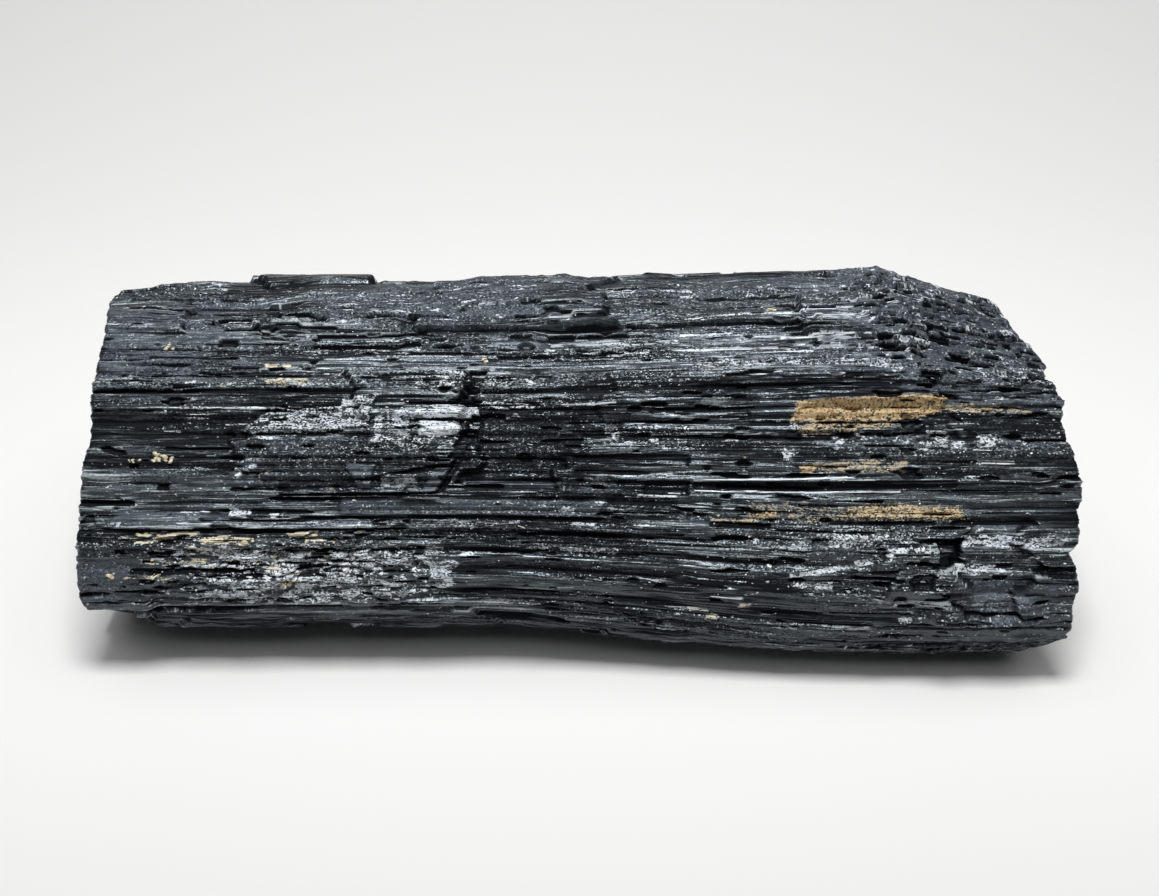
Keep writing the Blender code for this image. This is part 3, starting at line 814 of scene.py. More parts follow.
def make_mesh(name: str, points: Array, faces: Array, marks: Mapping[str, Array] | None = None,
              normals: Array | None = None, smooth: bool = True) -> bpy.types.Object:
    """Put arrays into a new mesh object at the origin.

    Args:
        name: the piece's name.
        points: points in millimetres, one row each.
        faces: corner indices, one face per row; a repeated last corner makes a triangle.
        marks: values for each point, kept as attributes: single numbers or vectors.
        normals: normals of the points, where the piece goes on smoothly into another one.
        smooth: whether its faces are shaded smooth.

    Returns:
        The linked object.
    """
    mesh = bpy.data.meshes.new(name)
    mesh.vertices.add(len(points))
    mesh.vertices.foreach_set("co", (points * MM).ravel())
    sizes = np.where(faces[:, -1] == faces[:, -2], faces.shape[1] - 1, faces.shape[1])
    kept = np.arange(faces.shape[1])[None, :] < sizes[:, None]
    corners = faces[kept]
    mesh.loops.add(len(corners))
    mesh.loops.foreach_set("vertex_index", corners)
    mesh.polygons.add(len(faces))
    mesh.polygons.foreach_set("loop_start", np.concatenate([[0], np.cumsum(sizes)[:-1]]))
    mesh.update(calc_edges=True)
    mesh.polygons.foreach_set("use_smooth", np.full(len(faces), smooth))
    for mark, values in (marks or {}).items():
        kind = "FLOAT" if values.ndim == 1 else "FLOAT_VECTOR"
        attribute = mesh.attributes.new(mark, kind, "POINT")
        attribute.data.foreach_set("value" if values.ndim == 1 else "vector", values.ravel())
    if normals is not None:
        mesh.normals_split_custom_set_from_vertices(normals.tolist())
    piece = bpy.data.objects.new(name, mesh)
    bpy.context.scene.collection.objects.link(piece)
    return piece


def dress(piece: bpy.types.Object, material: bpy.types.Material) -> bpy.types.Object:
    """Give a piece of the crystal its material and its body, and hide the part that it stands for."""
    piece.data.materials.append(material)
    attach(piece, BODY)
    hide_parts(NODE)
    log.info("%s: %d faces", piece.name, len(piece.data.polygons))
    return piece


# ---------------------------------------------------------------------------------------------
# Shader building
# ---------------------------------------------------------------------------------------------


def operation(name: str, swapped: bool = False) -> Callable[["Value", "Value | float"], "Value"]:
    """Make a method of Value that adds one Math node.

    Args:
        name: what the node does.
        swapped: whether the other number comes first.

    Returns:
        The method.
    """
    def method(self: "Value", other: "Value | float") -> "Value":
        """Join the two numbers."""
        first, second = (other, self) if swapped else (self, other)
        node = self.board.node("ShaderNodeMath", {0: first, 1: second}, operation=name)
        return Value(self.board, node.outputs[0])

    return method


@dataclass(frozen=True)
class Value:
    """A number in a shader: an output socket of a board. Arithmetic on it adds Math nodes."""

    board: "Board"
    socket: bpy.types.NodeSocket

    __add__ = __radd__ = operation("ADD")
    __mul__ = __rmul__ = operation("MULTIPLY")
    __sub__ = operation("SUBTRACT")
    __rsub__ = operation("SUBTRACT", swapped=True)

    def rise(self, start: float, end: float) -> "Value":
        """Smoothstep from 0 at start to 1 at end."""
        node = self.board.node("ShaderNodeMapRange", {"Value": self, "From Min": start, "From Max": end},
                               interpolation_type="SMOOTHSTEP")
        return Value(self.board, node.outputs["Result"])


class Board:
    """A material's node tree, with one method that adds any node."""

    def __init__(self, name: str) -> None:
        """Start a material that holds a Principled BSDF and its output.

        Args:
            name: the material's name.
        """
        self.material = bpy.data.materials.new(name)
        self.material.use_nodes = True
        self.tree = self.material.node_tree
        self.tree.nodes.clear()
        self.shader = self.node("ShaderNodeBsdfPrincipled")
        self.output = self.node("ShaderNodeOutputMaterial", {"Surface": self.shader.outputs[0]})

    def node(self, kind: str, inputs: Mapping[str | int, object] | None = None,
             **settings: object) -> bpy.types.Node:
        """Add a node.

        Args:
            kind: the node's type.
            inputs: a value, a Value or an output socket for each named or numbered input.
            settings: properties of the node, set first.

        Returns:
            The node.
        """
        node = self.tree.nodes.new(kind)
        for name, setting in settings.items():
            setattr(node, name, setting)
        self.feed(node, inputs or {})
        return node

    def feed(self, node: bpy.types.Node, inputs: Mapping[str | int, object]) -> None:
        """Set or link a node's inputs."""
        for key, given in inputs.items():
            source = given.socket if isinstance(given, Value) else given
            if isinstance(source, bpy.types.NodeSocket):
                self.tree.links.new(source, node.inputs[key])
            else:
                node.inputs[key].default_value = source

    def mark(self, name: str) -> Value:
        """A number attribute of the mesh."""
        return Value(self, self.node("ShaderNodeAttribute", attribute_name=name).outputs["Fac"])

    def place(self, length: float, width: float) -> bpy.types.NodeSocket:
        """The place on the skin, in steps of a length along the strands and a width across them."""
        source = self.node("ShaderNodeAttribute", attribute_name=PLACE)
        return self._scaled(source.outputs["Vector"], (1 / length, 1 / width, 1.0))

    def solid_place(self, per_metre: float) -> bpy.types.NodeSocket:
        """Object coordinates, in so many steps a metre."""
        return self._scaled(self.node("ShaderNodeTexCoord").outputs["Object"], (per_metre,) * 3)

    def _scaled(self, place: bpy.types.NodeSocket, scale: tuple[float, ...]) -> bpy.types.NodeSocket:
        """A place, scaled."""
        return self.node("ShaderNodeMapping", {"Vector": place, "Scale": scale}).outputs[0]

    def noise(self, place: bpy.types.NodeSocket, detail: float, roughness: float) -> Value:
        """Perlin noise from 0 to 1 whose features are one unit of the place across."""
        node = self.node("ShaderNodeTexNoise", {
            "Vector": place, "Scale": 1.0, "Detail": detail, "Roughness": roughness})
        return Value(self, node.outputs[0])

    def cells(self, place: bpy.types.NodeSocket) -> tuple[Value, Value]:
        """Random cells one unit of the place across.

        Args:
            place: the place, whose third coordinate doesn't count.

        Returns:
            A number from 0 to 1 for each cell, and a height that tilts each cell its own way.
        """
        node = self.node("ShaderNodeTexVoronoi", {"Vector": place, "Scale": 1.0}, voronoi_dimensions="2D")
        colour = node.outputs["Color"]
        away, lean = (
            self.node("ShaderNodeVectorMath", {0: first, 1: second}, operation="SUBTRACT").outputs[0]
            for first, second in ((place, node.outputs["Position"]), (colour, (0.5, 0.5, 0.5))))
        tilt = self.node("ShaderNodeVectorMath", {0: away, 1: lean}, operation="DOT_PRODUCT")
        number = self.node("ShaderNodeSeparateColor", {0: colour}).outputs[2]
        return Value(self, number), Value(self, tilt.outputs["Value"])

    def mix(self, factor: Value, first: object, second: object) -> bpy.types.NodeSocket:
        """Mix two colours, each a colour or a socket."""
        node = self.node("ShaderNodeMix", {0: factor}, data_type="RGBA")
        for key, given in ((6, first), (7, second)):
            self.feed(node, {key: (*given, 1.0) if isinstance(given, tuple) else given})
        return node.outputs[2]

    def cover(self, factor: Value, colour: Colour, roughness: float, specular: float) -> None:
        """Lay a second, plain finish over the first one.

        Args:
            factor: how much the second finish shows.
            colour: its colour.
            roughness: its roughness.
            specular: its specular level.
        """
        plain = self.node("ShaderNodeBsdfPrincipled", {
            "Base Color": (*colour, 1.0), "Roughness": roughness, "Specular IOR Level": specular})
        both = self.node("ShaderNodeMixShader", {0: factor, 1: self.shader.outputs[0], 2: plain.outputs[0]})
        self.tree.links.new(both.outputs[0], self.output.inputs["Surface"])

    def bump(self, height: Value, distance: float) -> bpy.types.NodeSocket:
        """A Bump node's normal."""
        return self.node("ShaderNodeBump", {"Height": height, "Distance": distance, "Strength": 1.0}).outputs[0]


class Weave(Enum):
    """Noises on the skin: (length along the strands, width across them, octaves, roughness)."""

    FINE = (9.0, 0.34, 3.0, 0.60)
    HAIR = (14.0, 0.16, 1.0, 0.5)
    BROAD = (20.0, 1.5, 3.0, 0.6)
    CUT = (11.0, 0.45, 3.0, 0.6)
    REGION = (8.0, 3.2, 2.0, 0.5)
    MOTTLE = (2.6, 1.1, 4.0, 0.70)
    SPECKLE = (0.9, 0.5, 2.0, 0.6)


@dataclass(frozen=True)
class StriatedSchorl:
    """Finish of the skin: glossy black, scratched grey with painted highlights and shade, mica, iron stains and
    clay.
    """

    black: Colour = (0.005, 0.0065, 0.009)
    dust_and_sheen: Colour = (0.072, 0.084, 0.100)
    grey: Colour = (0.192, 0.221, 0.24)
    pale: Colour = (0.425, 0.472, 0.49)
    speck: Colour = (0.71, 0.76, 0.79)
    silver: Colour = (0.77, 0.82, 0.87)
    ochre: Colour = (0.62, 0.47, 0.26)
    amber: Colour = (0.46, 0.265, 0.085)
    tan: Colour = (0.47, 0.40, 0.275)
    rust: Colour = (0.19, 0.115, 0.052)
    cream: Colour = (0.66, 0.60, 0.44)
    tint: Colour = (0.82, 0.93, 1.0)
    gloss: float = 0.24
    grain_size: tuple[float, float] = (0.30, 0.20)
    chip_size: tuple[float, float] = (1.6, 0.60)

    def material(self) -> bpy.types.Material:
        """Build the material from the skin's marks.

        Returns:
            The material.
        """
        board = Board("striated_schorl")
        fine, hair, broad, shade_cuts, region, mottle, speckle = (
            board.noise(board.place(*weave.value[:2]), *weave.value[2:]) for weave in Weave)
        grain, grain_tilt = board.cells(board.place(*self.grain_size))
        chip, chip_tilt = board.cells(board.place(*self.chip_size))
        crest, hollow, plank, plain, gritty, dust, gloom, silver, glint, ochre, clay = map(board.mark, MARKS)

        # Grey and pale lines along the strands; the crest term paints highlights on the ridges of the strands.
        lines = (fine * 0.45 + hair * 0.35 + broad * 0.35 + crest * 0.06 + plank * 0.03
                 - gloom * 0.07 - dust * 0.03 - plain * 0.10)
        # Grey scratches and pale streaks: partly real wear, partly painted highlights on the striations.
        scratches_and_highlights = (lines + (grain - 0.5) * 0.04).rise(0.60, 0.66)
        streaks_and_highlights = (lines + (grain - 0.5) * 0.06).rise(0.66, 0.70)
        # Grey film: real dust plus painted sheen of the soft boxes; lighter on raised strands, less under painted
        # shade.
        dust_and_sheen = (dust * 0.75 + plank * 0.28 - gloom * 0.35 + (mottle - 0.5) * 1.2 + (region - 0.5) * 0.9
                ).rise(-0.25, 0.85)
        salt = (grain - dust * 0.01 + gritty * 0.03 + silver * 0.05 - gloom * 0.03 - ochre
                + (mottle - 0.5) * 0.17).rise(0.99, 1.01)
        pepper = (gritty * 0.30 + silver * 0.15 - ochre * 0.10 - grain).rise(0.0, 0.02)
        flaky = (silver * 0.85 + (chip - 0.5) * 0.7 + (mottle - 0.5) * 1.5 + (region - 0.5) * 1.2
                 + (grain - 0.5) * 0.3).rise(0.55, 0.75)
        # Painted highlight lines where the glint look is set, in the mica's silver.
        painted_glint_lines = (glint * 0.75 + (fine - 0.5) * 1.2 + (hair - 0.5) * 1.2).rise(0.42, 0.70)
        stained = (ochre * 0.95 + (mottle - 0.5) * 1.5 + (fine - 0.5) * 1.2 + (grain - 0.5) * 0.55
                   + (speckle - 0.5) * 1.2).rise(0.28, 0.80) * ochre.rise(0.02, 0.12)
        earthy = ((clay * 0.80 + (mottle - 0.5) * 2.6 + (fine - 0.5) * 1.0).rise(0.45, 0.65)
                  * clay.rise(0.01, 0.06))
        iron = board.mix((grain * 0.5 + chip * 0.3 + speckle * 1.2).rise(0.75, 1.15), self.amber, self.ochre)
        stain = board.mix(ochre.rise(0.40, 0.85), self.tan, iron)
        burnt = (fine * 0.5 + mottle * 0.9 + speckle * 1.6 + grain * 0.5).rise(1.30, 1.90)
        shiny = (grain * 0.3 + chip * 0.4 + speckle * 0.6).rise(0.35, 0.90)
        # Painted shade: matte black over hollows, dark facets, pits and thin dark lines; less on raised strands and
        # stains.
        shade = (hollow * 0.9 + gloom * 0.40 - plank * 0.12 - plain * 0.15 + (shade_cuts - 0.5) * 2.4
                 - glint - clay - silver * 0.4 - ochre * 0.6)
        board.cover(shade.rise(0.20, 0.46) * 0.94, self.black, 0.8, 0.1)

        colour = board.mix(dust_and_sheen, self.black, self.dust_and_sheen)
        for share, over in (
                (scratches_and_highlights * 0.5, self.grey), (streaks_and_highlights * (1.0 - gloom * 0.5), self.pale),
                (flaky, board.mix(shiny, self.grey, self.silver)), (painted_glint_lines, self.silver),
                (stained, board.mix(burnt, self.rust, stain)), (earthy, self.cream),
                (pepper * 0.9, self.black), (salt * 0.65, self.speck)):
            colour = board.mix(share, colour, over)
        rough = self.gloss + 0.3 * dust_and_sheen + 0.10 * flaky + 0.45 * stained
        height = (0.03 * fine + grain_tilt * (0.04 + gritty * 0.16 + silver * 0.10)
                  + chip_tilt * (0.03 + gritty * 0.12 + silver * 0.16))
        board.shader.inputs["IOR"].default_value = REFRACTION
        board.shader.inputs["Specular Tint"].default_value = (*self.tint, 1.0)
        board.feed(board.shader, {"Base Color": colour, "Roughness": rough, "Normal": board.bump(height, MM)})
        return board.material


@dataclass(frozen=True)
class BrokenSchorl:
    """Finish of the broken ends: uneven, duller black with grey bruises."""

    black: Colour = (0.010, 0.011, 0.014)
    grey: Colour = (0.15, 0.16, 0.18)
    pale: Colour = (0.46, 0.48, 0.51)
    coarse: float = 2.2 * MM

    def material(self) -> bpy.types.Material:
        """Build the material on Object coordinates.

        Returns:
            The material.
        """
        board = Board("broken_schorl")
        broad = board.noise(board.solid_place(1 / self.coarse), 4.0, 0.65)
        grain = board.noise(board.solid_place(6 / self.coarse), 3.0, 0.6)
        fleck = board.noise(board.solid_place(11 / self.coarse), 2.0, 0.6)
        bruise = (broad * 0.6 + grain * 0.4).rise(0.50, 0.64)
        bright = (fleck * 0.9 + grain * 0.6 + broad * 0.3).rise(1.12, 1.20)
        colour = board.mix(bruise * 0.6, self.black, self.grey)
        colour = board.mix(bright * 0.9, colour, self.pale)
        board.shader.inputs["IOR"].default_value = REFRACTION
        board.feed(board.shader, {
            "Base Color": colour, "Roughness": 0.16 + 0.35 * bruise,
            "Normal": board.bump(broad * 0.5 + grain * 0.3 + fleck * 0.2, 0.20 * MM)})
        return board.material


@dataclass(frozen=True)
class GrainFinish:
    """Finish of the loose grains: one colour, mottled."""

    name: str
    pale: Colour
    deep: Colour
    roughness: float
    coarse: float = 0.5 * MM

    def material(self) -> bpy.types.Material:
        """Build the material on Object coordinates.

        Returns:
            The material.
        """
        board = Board(self.name)
        mottle = board.noise(board.solid_place(1 / self.coarse), 2.0, 0.5).rise(0.35, 0.65)
        board.feed(board.shader, {
            "Base Color": board.mix(mottle, self.deep, self.pale),
            "Roughness": self.roughness + 0.1 * mottle})
        return board.material


# ---------------------------------------------------------------------------------------------
# The crystal
# ---------------------------------------------------------------------------------------------


class Panel(Enum):
    """Lengthwise panels of the skin: (name, first strand, last strand, rows of points per millimetre)."""

    UNDERSIDE_FRONT = ("skin_underside_front", 0, 3, 2.4)
    FOOT = ("skin_foot", 4, 8, 7.6)
    FRONT_LOW = ("skin_front_low", 9, 13, 7.6)
    FRONT = ("skin_front", 14, 18, 7.6)
    FRONT_HIGH = ("skin_front_high", 19, 24, 7.0)
    TOP = ("skin_top", 25, 27, 7.0)
    BACK = ("skin_back", 28, 33, 3.4)
    UNDERSIDE_BACK = ("skin_underside_back", 34, 39, 2.4)


@dataclass
class Skin:
    """The striated skin round the log, as lengthwise panels that meet in the grooves between strands."""

    section: Section = field(default_factory=Section)
    strands: Strands = field(default_factory=Strands)
    breaks: Breaks = field(default_factory=Breaks)
    columns: int = 560
    rest_depth: float = 0.3
    tip_jitter: float = 0.18
    tip_width: float = 0.9
    tip_rounding: float = 0.9
    tip_drop: float = 0.7
    fibre_height: float = 0.05
    grit_height: float = 0.30
    chunk_height: float = 0.85
    pit_depth: float = 0.9
    plank_shares: tuple[float, ...] = (0.5, 0.35, 0.15)
    left_tips: tuple[tuple[float, float], ...] = (
        (0, 1.5), (10, 2.5), (24, 5.0), (34, 9.0), (43.0, 10.5), (44.5, 1.6), (48, 0.3), (55, 0.3), (60, 0.8),
        (70, 1.2), (77, 1.6), (79.6, 2.7), (84, 2.7), (90, 2.3), (92.0, 2.5), (92.6, 3.2), (94, 2.6), (96, 2.6),
        (105, 2.7), (112, 2.0), (117, 0.9), (125, 0.6), (140, 1.0), (210, 1.5),
    )
    right_tips: tuple[tuple[float, float], ...] = (
        (0, 2.0), (39.5, 1.2), (42, 0.8), (45.2, 1.5), (47, 0.8), (51, 1.3), (53, 1.2), (56, 0.7), (59.7, 1.8),
        (61.7, 2.9), (63, 1.2), (69, 0.8), (71, 0.1), (74, -0.1), (78, 1.3), (81.5, 2.8), (84, 3.3), (89.4, 2.2),
        (91.5, 2.6), (93.0, 2.1), (94.6, 1.8), (95.6, 1.9), (96.4, 2.7), (98.2, 2.0), (99.5, 0.8), (102, 0.9),
        (104.5, 2.4), (110, 2.8), (120, 2.2), (135, 2.0), (210, 2.0),
    )
    bundles: tuple[Bundle, ...] = (
        Bundle(width=2.1, length=50.0, level=0.30, groove=0.45, tilt=0.32, seed=21, run=3.0, chip_chance=0.03),
        Bundle(width=0.95, length=34.0, level=0.09, groove=0.20, tilt=0.36, seed=33, run=2.0, chip_chance=0.04),
        Bundle(width=0.46, length=20.0, level=0.035, groove=0.07, tilt=0.30, seed=57, run=1.2, chip_chance=0.06),
    )

    def shares(self) -> tuple[Array, dict[Panel, slice]]:
        """Rows of points round the skin: evenly spaced in each panel, which shares its border rows.

        Returns:
            Shares of the way round, from 0 to 1, and each panel's rows.
        """
        rows, spans = [np.zeros(1)], {}
        for panel in Panel:
            _, first, last, density = panel.value
            start, end = self.strands.edges[first], self.strands.edges[last + 1]
            count = int((end - start) * self.strands.girth * density)
            begin = sum(len(part) for part in rows) - 1
            rows.append(np.linspace(start, end, count + 1)[1:])
            spans[panel] = slice(begin, begin + count + 1)
        return np.concatenate(rows), spans

    def tips(self, share: Array) -> tuple[Array, Array]:
        """Where each row starts and ends along the log: the breaks, less each thin strand's shortfall."""
        girth = share * self.strands.girth
        thin = np.random.RandomState(47).uniform(-self.tip_jitter, self.tip_jitter, (2, 400))
        row = (girth / self.tip_width).astype(int) % thin.shape[1]
        short_left = np.interp(girth, *np.array(self.left_tips).T) + thin[0, row]
        short_right = np.interp(girth, *np.array(self.right_tips).T) + thin[1, row]
        return self.breaks.left + short_left, self.breaks.right - short_right

    def relief(self, share: Array, x: Array) -> dict[str, Array]:
        """Height of the skin over the smooth section, with the marks that its finish reads.

        The height is the thick strands' and the thin strands', with pits where the log is rough and
        the edge rounded at the tips.

        Args:
            share: share of the way round, one row each.
            x: places along the log, a row for each share.

        Returns:
            The height and the marks, each of the shape of x.
        """
        rows = share * self.strands.girth
        girth = np.repeat(rows[:, None], x.shape[1], axis=1)
        ragged = 0.6 * FRAYED.at(girth, x) + 0.6 * ROUGH.at(girth, x)
        layers = {look: np.zeros_like(x) for look in LOOKS + ("rise",)}
        layers["calm"] += 0.9 * smoothstep(CALM_REACHES.at(girth, x), -0.05, 0.35)
        layers["gritty"] += smoothstep(GRITTY_REACHES.at(girth, x), -0.05, 0.35)
        # Painted shade in random dark reaches along the strands.
        layers["gloom"] += 0.8 * smoothstep(PAINTED_SHADE_REACHES.at(girth, x), 0.05, 0.45)
        for facet in FACETS:
            facet.add(layers, rows, x, ragged)
        for look in LOOKS:
            np.clip(layers[look], 0.0, 1.0, out=layers[look])

        calm, gritty, chunky, plain = (layers[look] for look in ("calm", "gritty", "chunky", "plain"))
        height = layers["rise"] + self.strands.relief(share, x, ragged, plain)
        thin, levels = zip(*(bundle.relief(girth, x, self.strands.girth) for bundle in self.bundles))
        layers["plank"] = sum(share * np.clip(level, -1.2, 1.0)
                              for share, level in zip(self.plank_shares, levels))
        height = height + sum(thin) * (1.0 - 0.72 * calm) * (1.0 - 0.8 * plain)
        height = height + self.fibre_height * FIBRES.at(girth, x) * (1.0 - 0.6 * calm)
        height = height + self.grit_height * gritty * GRIT.at(girth, x)
        height = height + self.chunk_height * chunky * CHUNKS.at(girth, x)
        pits = smoothstep(PITTING.at(girth, x) + 0.10 * chunky - 0.2 * calm, 0.42, 0.56)
        height = height - self.pit_depth * pits
        blurred = self._blurred(height, share)
        # Painted highlight: high where a point stands above its neighbours round the section.
        layers["crest"] = smoothstep(height - blurred, -0.02, 0.28)
        # Painted shade: high where a point lies below its neighbours round the section.
        layers["hollow"] = smoothstep(blurred - height, 0.08, 0.46)
        layers["height"], layers["girth"] = height, girth
        return layers

    @staticmethod
    def _blurred(height: Array, share: Array, reach: float = 0.005) -> Array:
        """Mean height within a reach either side round the section, from running sums."""
        weight = np.gradient(share)[:, None]
        total = np.vstack([np.zeros((1, height.shape[1])), np.cumsum(height * weight, axis=0)])
        mass = np.concatenate([[0], np.cumsum(weight[:, 0])])
        low = np.searchsorted(share, share - reach)
        high = np.searchsorted(share, share + reach)
        return (total[high] - total[low]) / (mass[high] - mass[low])[:, None]

    def surface(self) -> tuple[Array, dict[str, Array], dict[Panel, slice]]:
        """The whole skin on a grid of rows round the log and columns along it.

        Returns:
            Points of the grid, its marks, and each panel's rows.
        """
        share, spans = self.shares()
        left, right = self.tips(share)
        along = np.linspace(0.0, 1.0, self.columns + 1)
        x = left[:, None] + (right - left)[:, None] * along
        marks = self.relief(share, x)
        from_tip = np.minimum(x - left[:, None], right[:, None] - x)
        inside = np.clip(1.0 - from_tip / self.tip_rounding, 0.0, 1.0)
        drop = self.tip_drop * (1.0 - np.sqrt(1.0 - inside ** 2))
        centre, normal = self.section.at(np.repeat(share[:, None], x.shape[1], axis=1), x)
        out = marks["height"] - drop - self.breaks.worn(x, normal)
        out[-1] = out[0]
        flat = centre + normal * out[..., None]
        y, z = flat[..., 0], flat[..., 1] - self.rest_depth
        z = np.maximum(z, 0.0)
        points = np.stack([self.breaks.bent(x, y, z), y, z], -1)
        points[-1] = points[0]
        wobble = 0.5 * WOBBLE.at(marks["girth"], x) * (1.0 + 1.5 * marks["chunky"])
        marks[PLACE] = np.stack([x, marks["girth"] + wobble, np.zeros_like(x)], -1)
        return points, marks, spans

    def build(self, material: bpy.types.Material) -> tuple[Array, dict[str, Array]]:
        """Make the panels.

        Args:
            material: the finish of the skin.

        Returns:
            The grid's points and marks.
        """
        points, marks, spans = self.surface()
        normals = grid_normals(points)
        for panel, rows in spans.items():
            count, width = points[rows].shape[:2]
            kept = {name: marks[name][rows].reshape((count * width,) + marks[name].shape[2:])
                    for name in (PLACE,) + MARKS}
            piece = make_mesh(panel.value[0], points[rows].reshape(-1, 3), grid_faces(count, width), kept,
                              normals[rows].reshape(-1, 3))
            dress(piece, material)
        return points, marks


class End(Enum):
    """The two broken ends."""

    LEFT = 0
    RIGHT = 1


@dataclass
class BrokenEnds:
    """The broken faces that close the skin."""

    skin: Skin
    blocks: int = 26
    blocks_y: tuple[float, float] = (-36.0, 36.0)
    blocks_z: tuple[float, float] = (2.0, 60.0)
    block_tilt: float = 0.15
    block_warp: float = 1.2
    block_share: float = 0.8
    roughness: float = 2.2
    column_sizes: tuple[tuple[float, float], ...] = ((6.5, 0.95), (3.1, 0.55), (1.3, 0.20))
    column_tilt: float = 1.8
    column_warp: float = 0.5
    cloud_height: float = 0.25
    rim_rings: tuple[float, ...] = (1.0, 0.985, 0.97)
    inner_ring: float = 0.95
    rings: int = 76
    rim_blend: float = 0.94
    set_back: tuple[float, float] = (2.2, 4.0)
    cells: int = 64

    def _blocks(self, y: Array, z: Array) -> Array:
        """Rise of the large blocks: the nearest centre's length plus its tilt times the distance."""
        random = self.skin.strands.random
        centre_y = random.uniform(*self.blocks_y, self.blocks)
        centre_z = random.uniform(*self.blocks_z, self.blocks)
        length = random.uniform(-self.roughness, self.roughness, self.blocks)
        tilt = random.uniform(-self.block_tilt, self.block_tilt, (2, self.blocks))
        warp = self.block_warp * Lattice(71).cloud(y / 4.0, z / 4.0, 3)
        away = np.hypot(y[..., None] + warp[..., None] - centre_y, z[..., None] + warp[..., None] - centre_z)
        near = np.argmin(away, axis=-1)
        return length[near] + tilt[0, near] * (y - centre_y[near]) + tilt[1, near] * (z - centre_z[near])

    def _columns(self, y: Array, z: Array, size: float, seed: int) -> Array:
        """Rise of the snapped columns of one size, from about -1 to 1.

        Each square of a lattice holds a centre at a random place. A point belongs to the nearest of
        the nine centres around it, and has that centre's level plus its tilt times the distance.

        Args:
            y: place across the log.
            z: height.
            size: width of a column in millimetres.
            seed: seed of the columns.

        Returns:
            Rises of the shape of y.
        """
        random = np.random.RandomState(seed)
        squares = (self.cells, self.cells)
        centres = random.uniform(0.1, 0.9, (2, *squares))
        tilts = random.uniform(-self.column_tilt, self.column_tilt, (2, *squares))
        levels = random.uniform(-1, 1, squares)
        row, column = np.floor(y / size).astype(int), np.floor(z / size).astype(int)
        nearest, rise = np.full(y.shape, np.inf), np.zeros(y.shape)
        for down in (-1, 0, 1):
            for right in (-1, 0, 1):
                here = (row + down) % self.cells, (column + right) % self.cells
                across = y / size - (row + down) - centres[0][here]
                along = z / size - (column + right) - centres[1][here]
                away = across ** 2 + along ** 2
                nearer = away < nearest
                nearest = np.where(nearer, away, nearest)
                height = levels[here] + tilts[0][here] * across + tilts[1][here] * along
                rise = np.where(nearer, height, rise)
        return rise

    def _splinters(self, y: Array, z: Array, seed: int) -> Array:
        """Rise of the snapped columns of three sizes, over a rough cloud."""
        lattice = Lattice(seed)
        warp = self.column_warp * lattice.cloud(y / 3.0 + 9, z / 3.0, 2)
        columns = sum(rise * self._columns(y + warp, z - warp, size, seed + k)
                      for k, (size, rise) in enumerate(self.column_sizes))
        return columns + self.cloud_height * lattice.cloud(y / 2.4, z / 2.4, 4)

    def build(self, end: End, grid: Array, material: bpy.types.Material) -> bpy.types.Object:
        """Make one broken face from the skin's rim to a pole in its middle.

        A point at a share of the way out has the rim's (y, z) scaled by it, and its x is that of the
        break plus the blocks and splinters, which gives way to the rim's own x near the rim.

        Args:
            end: which end.
            grid: the skin's points.
            material: the finish of the break.

        Returns:
            The piece.
        """
        rim = grid[:-1, 0 if end is End.LEFT else -1]
        middle = rim[:, 1:].mean(axis=0)
        share = np.concatenate([self.rim_rings, np.linspace(self.inner_ring, 0.0, self.rings)])[:, None]
        y = middle[0] + (rim[:, 1] - middle[0]) * share
        z = middle[1] + (rim[:, 2] - middle[1]) * share
        shape, inward = ((self.skin.breaks.left_end, 1.0), (self.skin.breaks.right_end, -1.0))[end.value]
        x = shape(y, z) + inward * self.set_back[end.value]
        x = x + self.block_share * self._blocks(y, z) + self._splinters(y, z, 81 + end.value)
        hold = smoothstep(share, self.rim_blend, 1.0)
        x = rim[:, 0] * hold + x * (1 - hold)
        x[-1] = x[-1].mean()
        points = np.stack([x, y, z], -1)
        rings, count = x.shape
        index = np.arange((rings - 1) * count).reshape(rings - 1, count)
        index = np.vstack([index, np.full((1, count), (rings - 1) * count)])
        after = np.roll(index, -1, axis=1)
        order = [index[:-1], after[:-1], after[1:], index[1:]]
        if end is End.RIGHT:
            order = [after[:-1], index[:-1], index[1:], after[1:]]
        faces = np.stack(order, -1).reshape(-1, 4)
        points = np.vstack([points[:-1].reshape(-1, 3), points[-1, :1]])
        piece = make_mesh(f"broken_end_{end.name.lower()}", points, faces, smooth=False)
        return dress(piece, material)


@dataclass(frozen=True)
class Patch:
    """A stretch of the skin with loose bits: how many, where, and their smallest and largest lengths."""

    count: int
    left: float
    right: float
    low: float
    high: float
    smallest: float
    largest: float


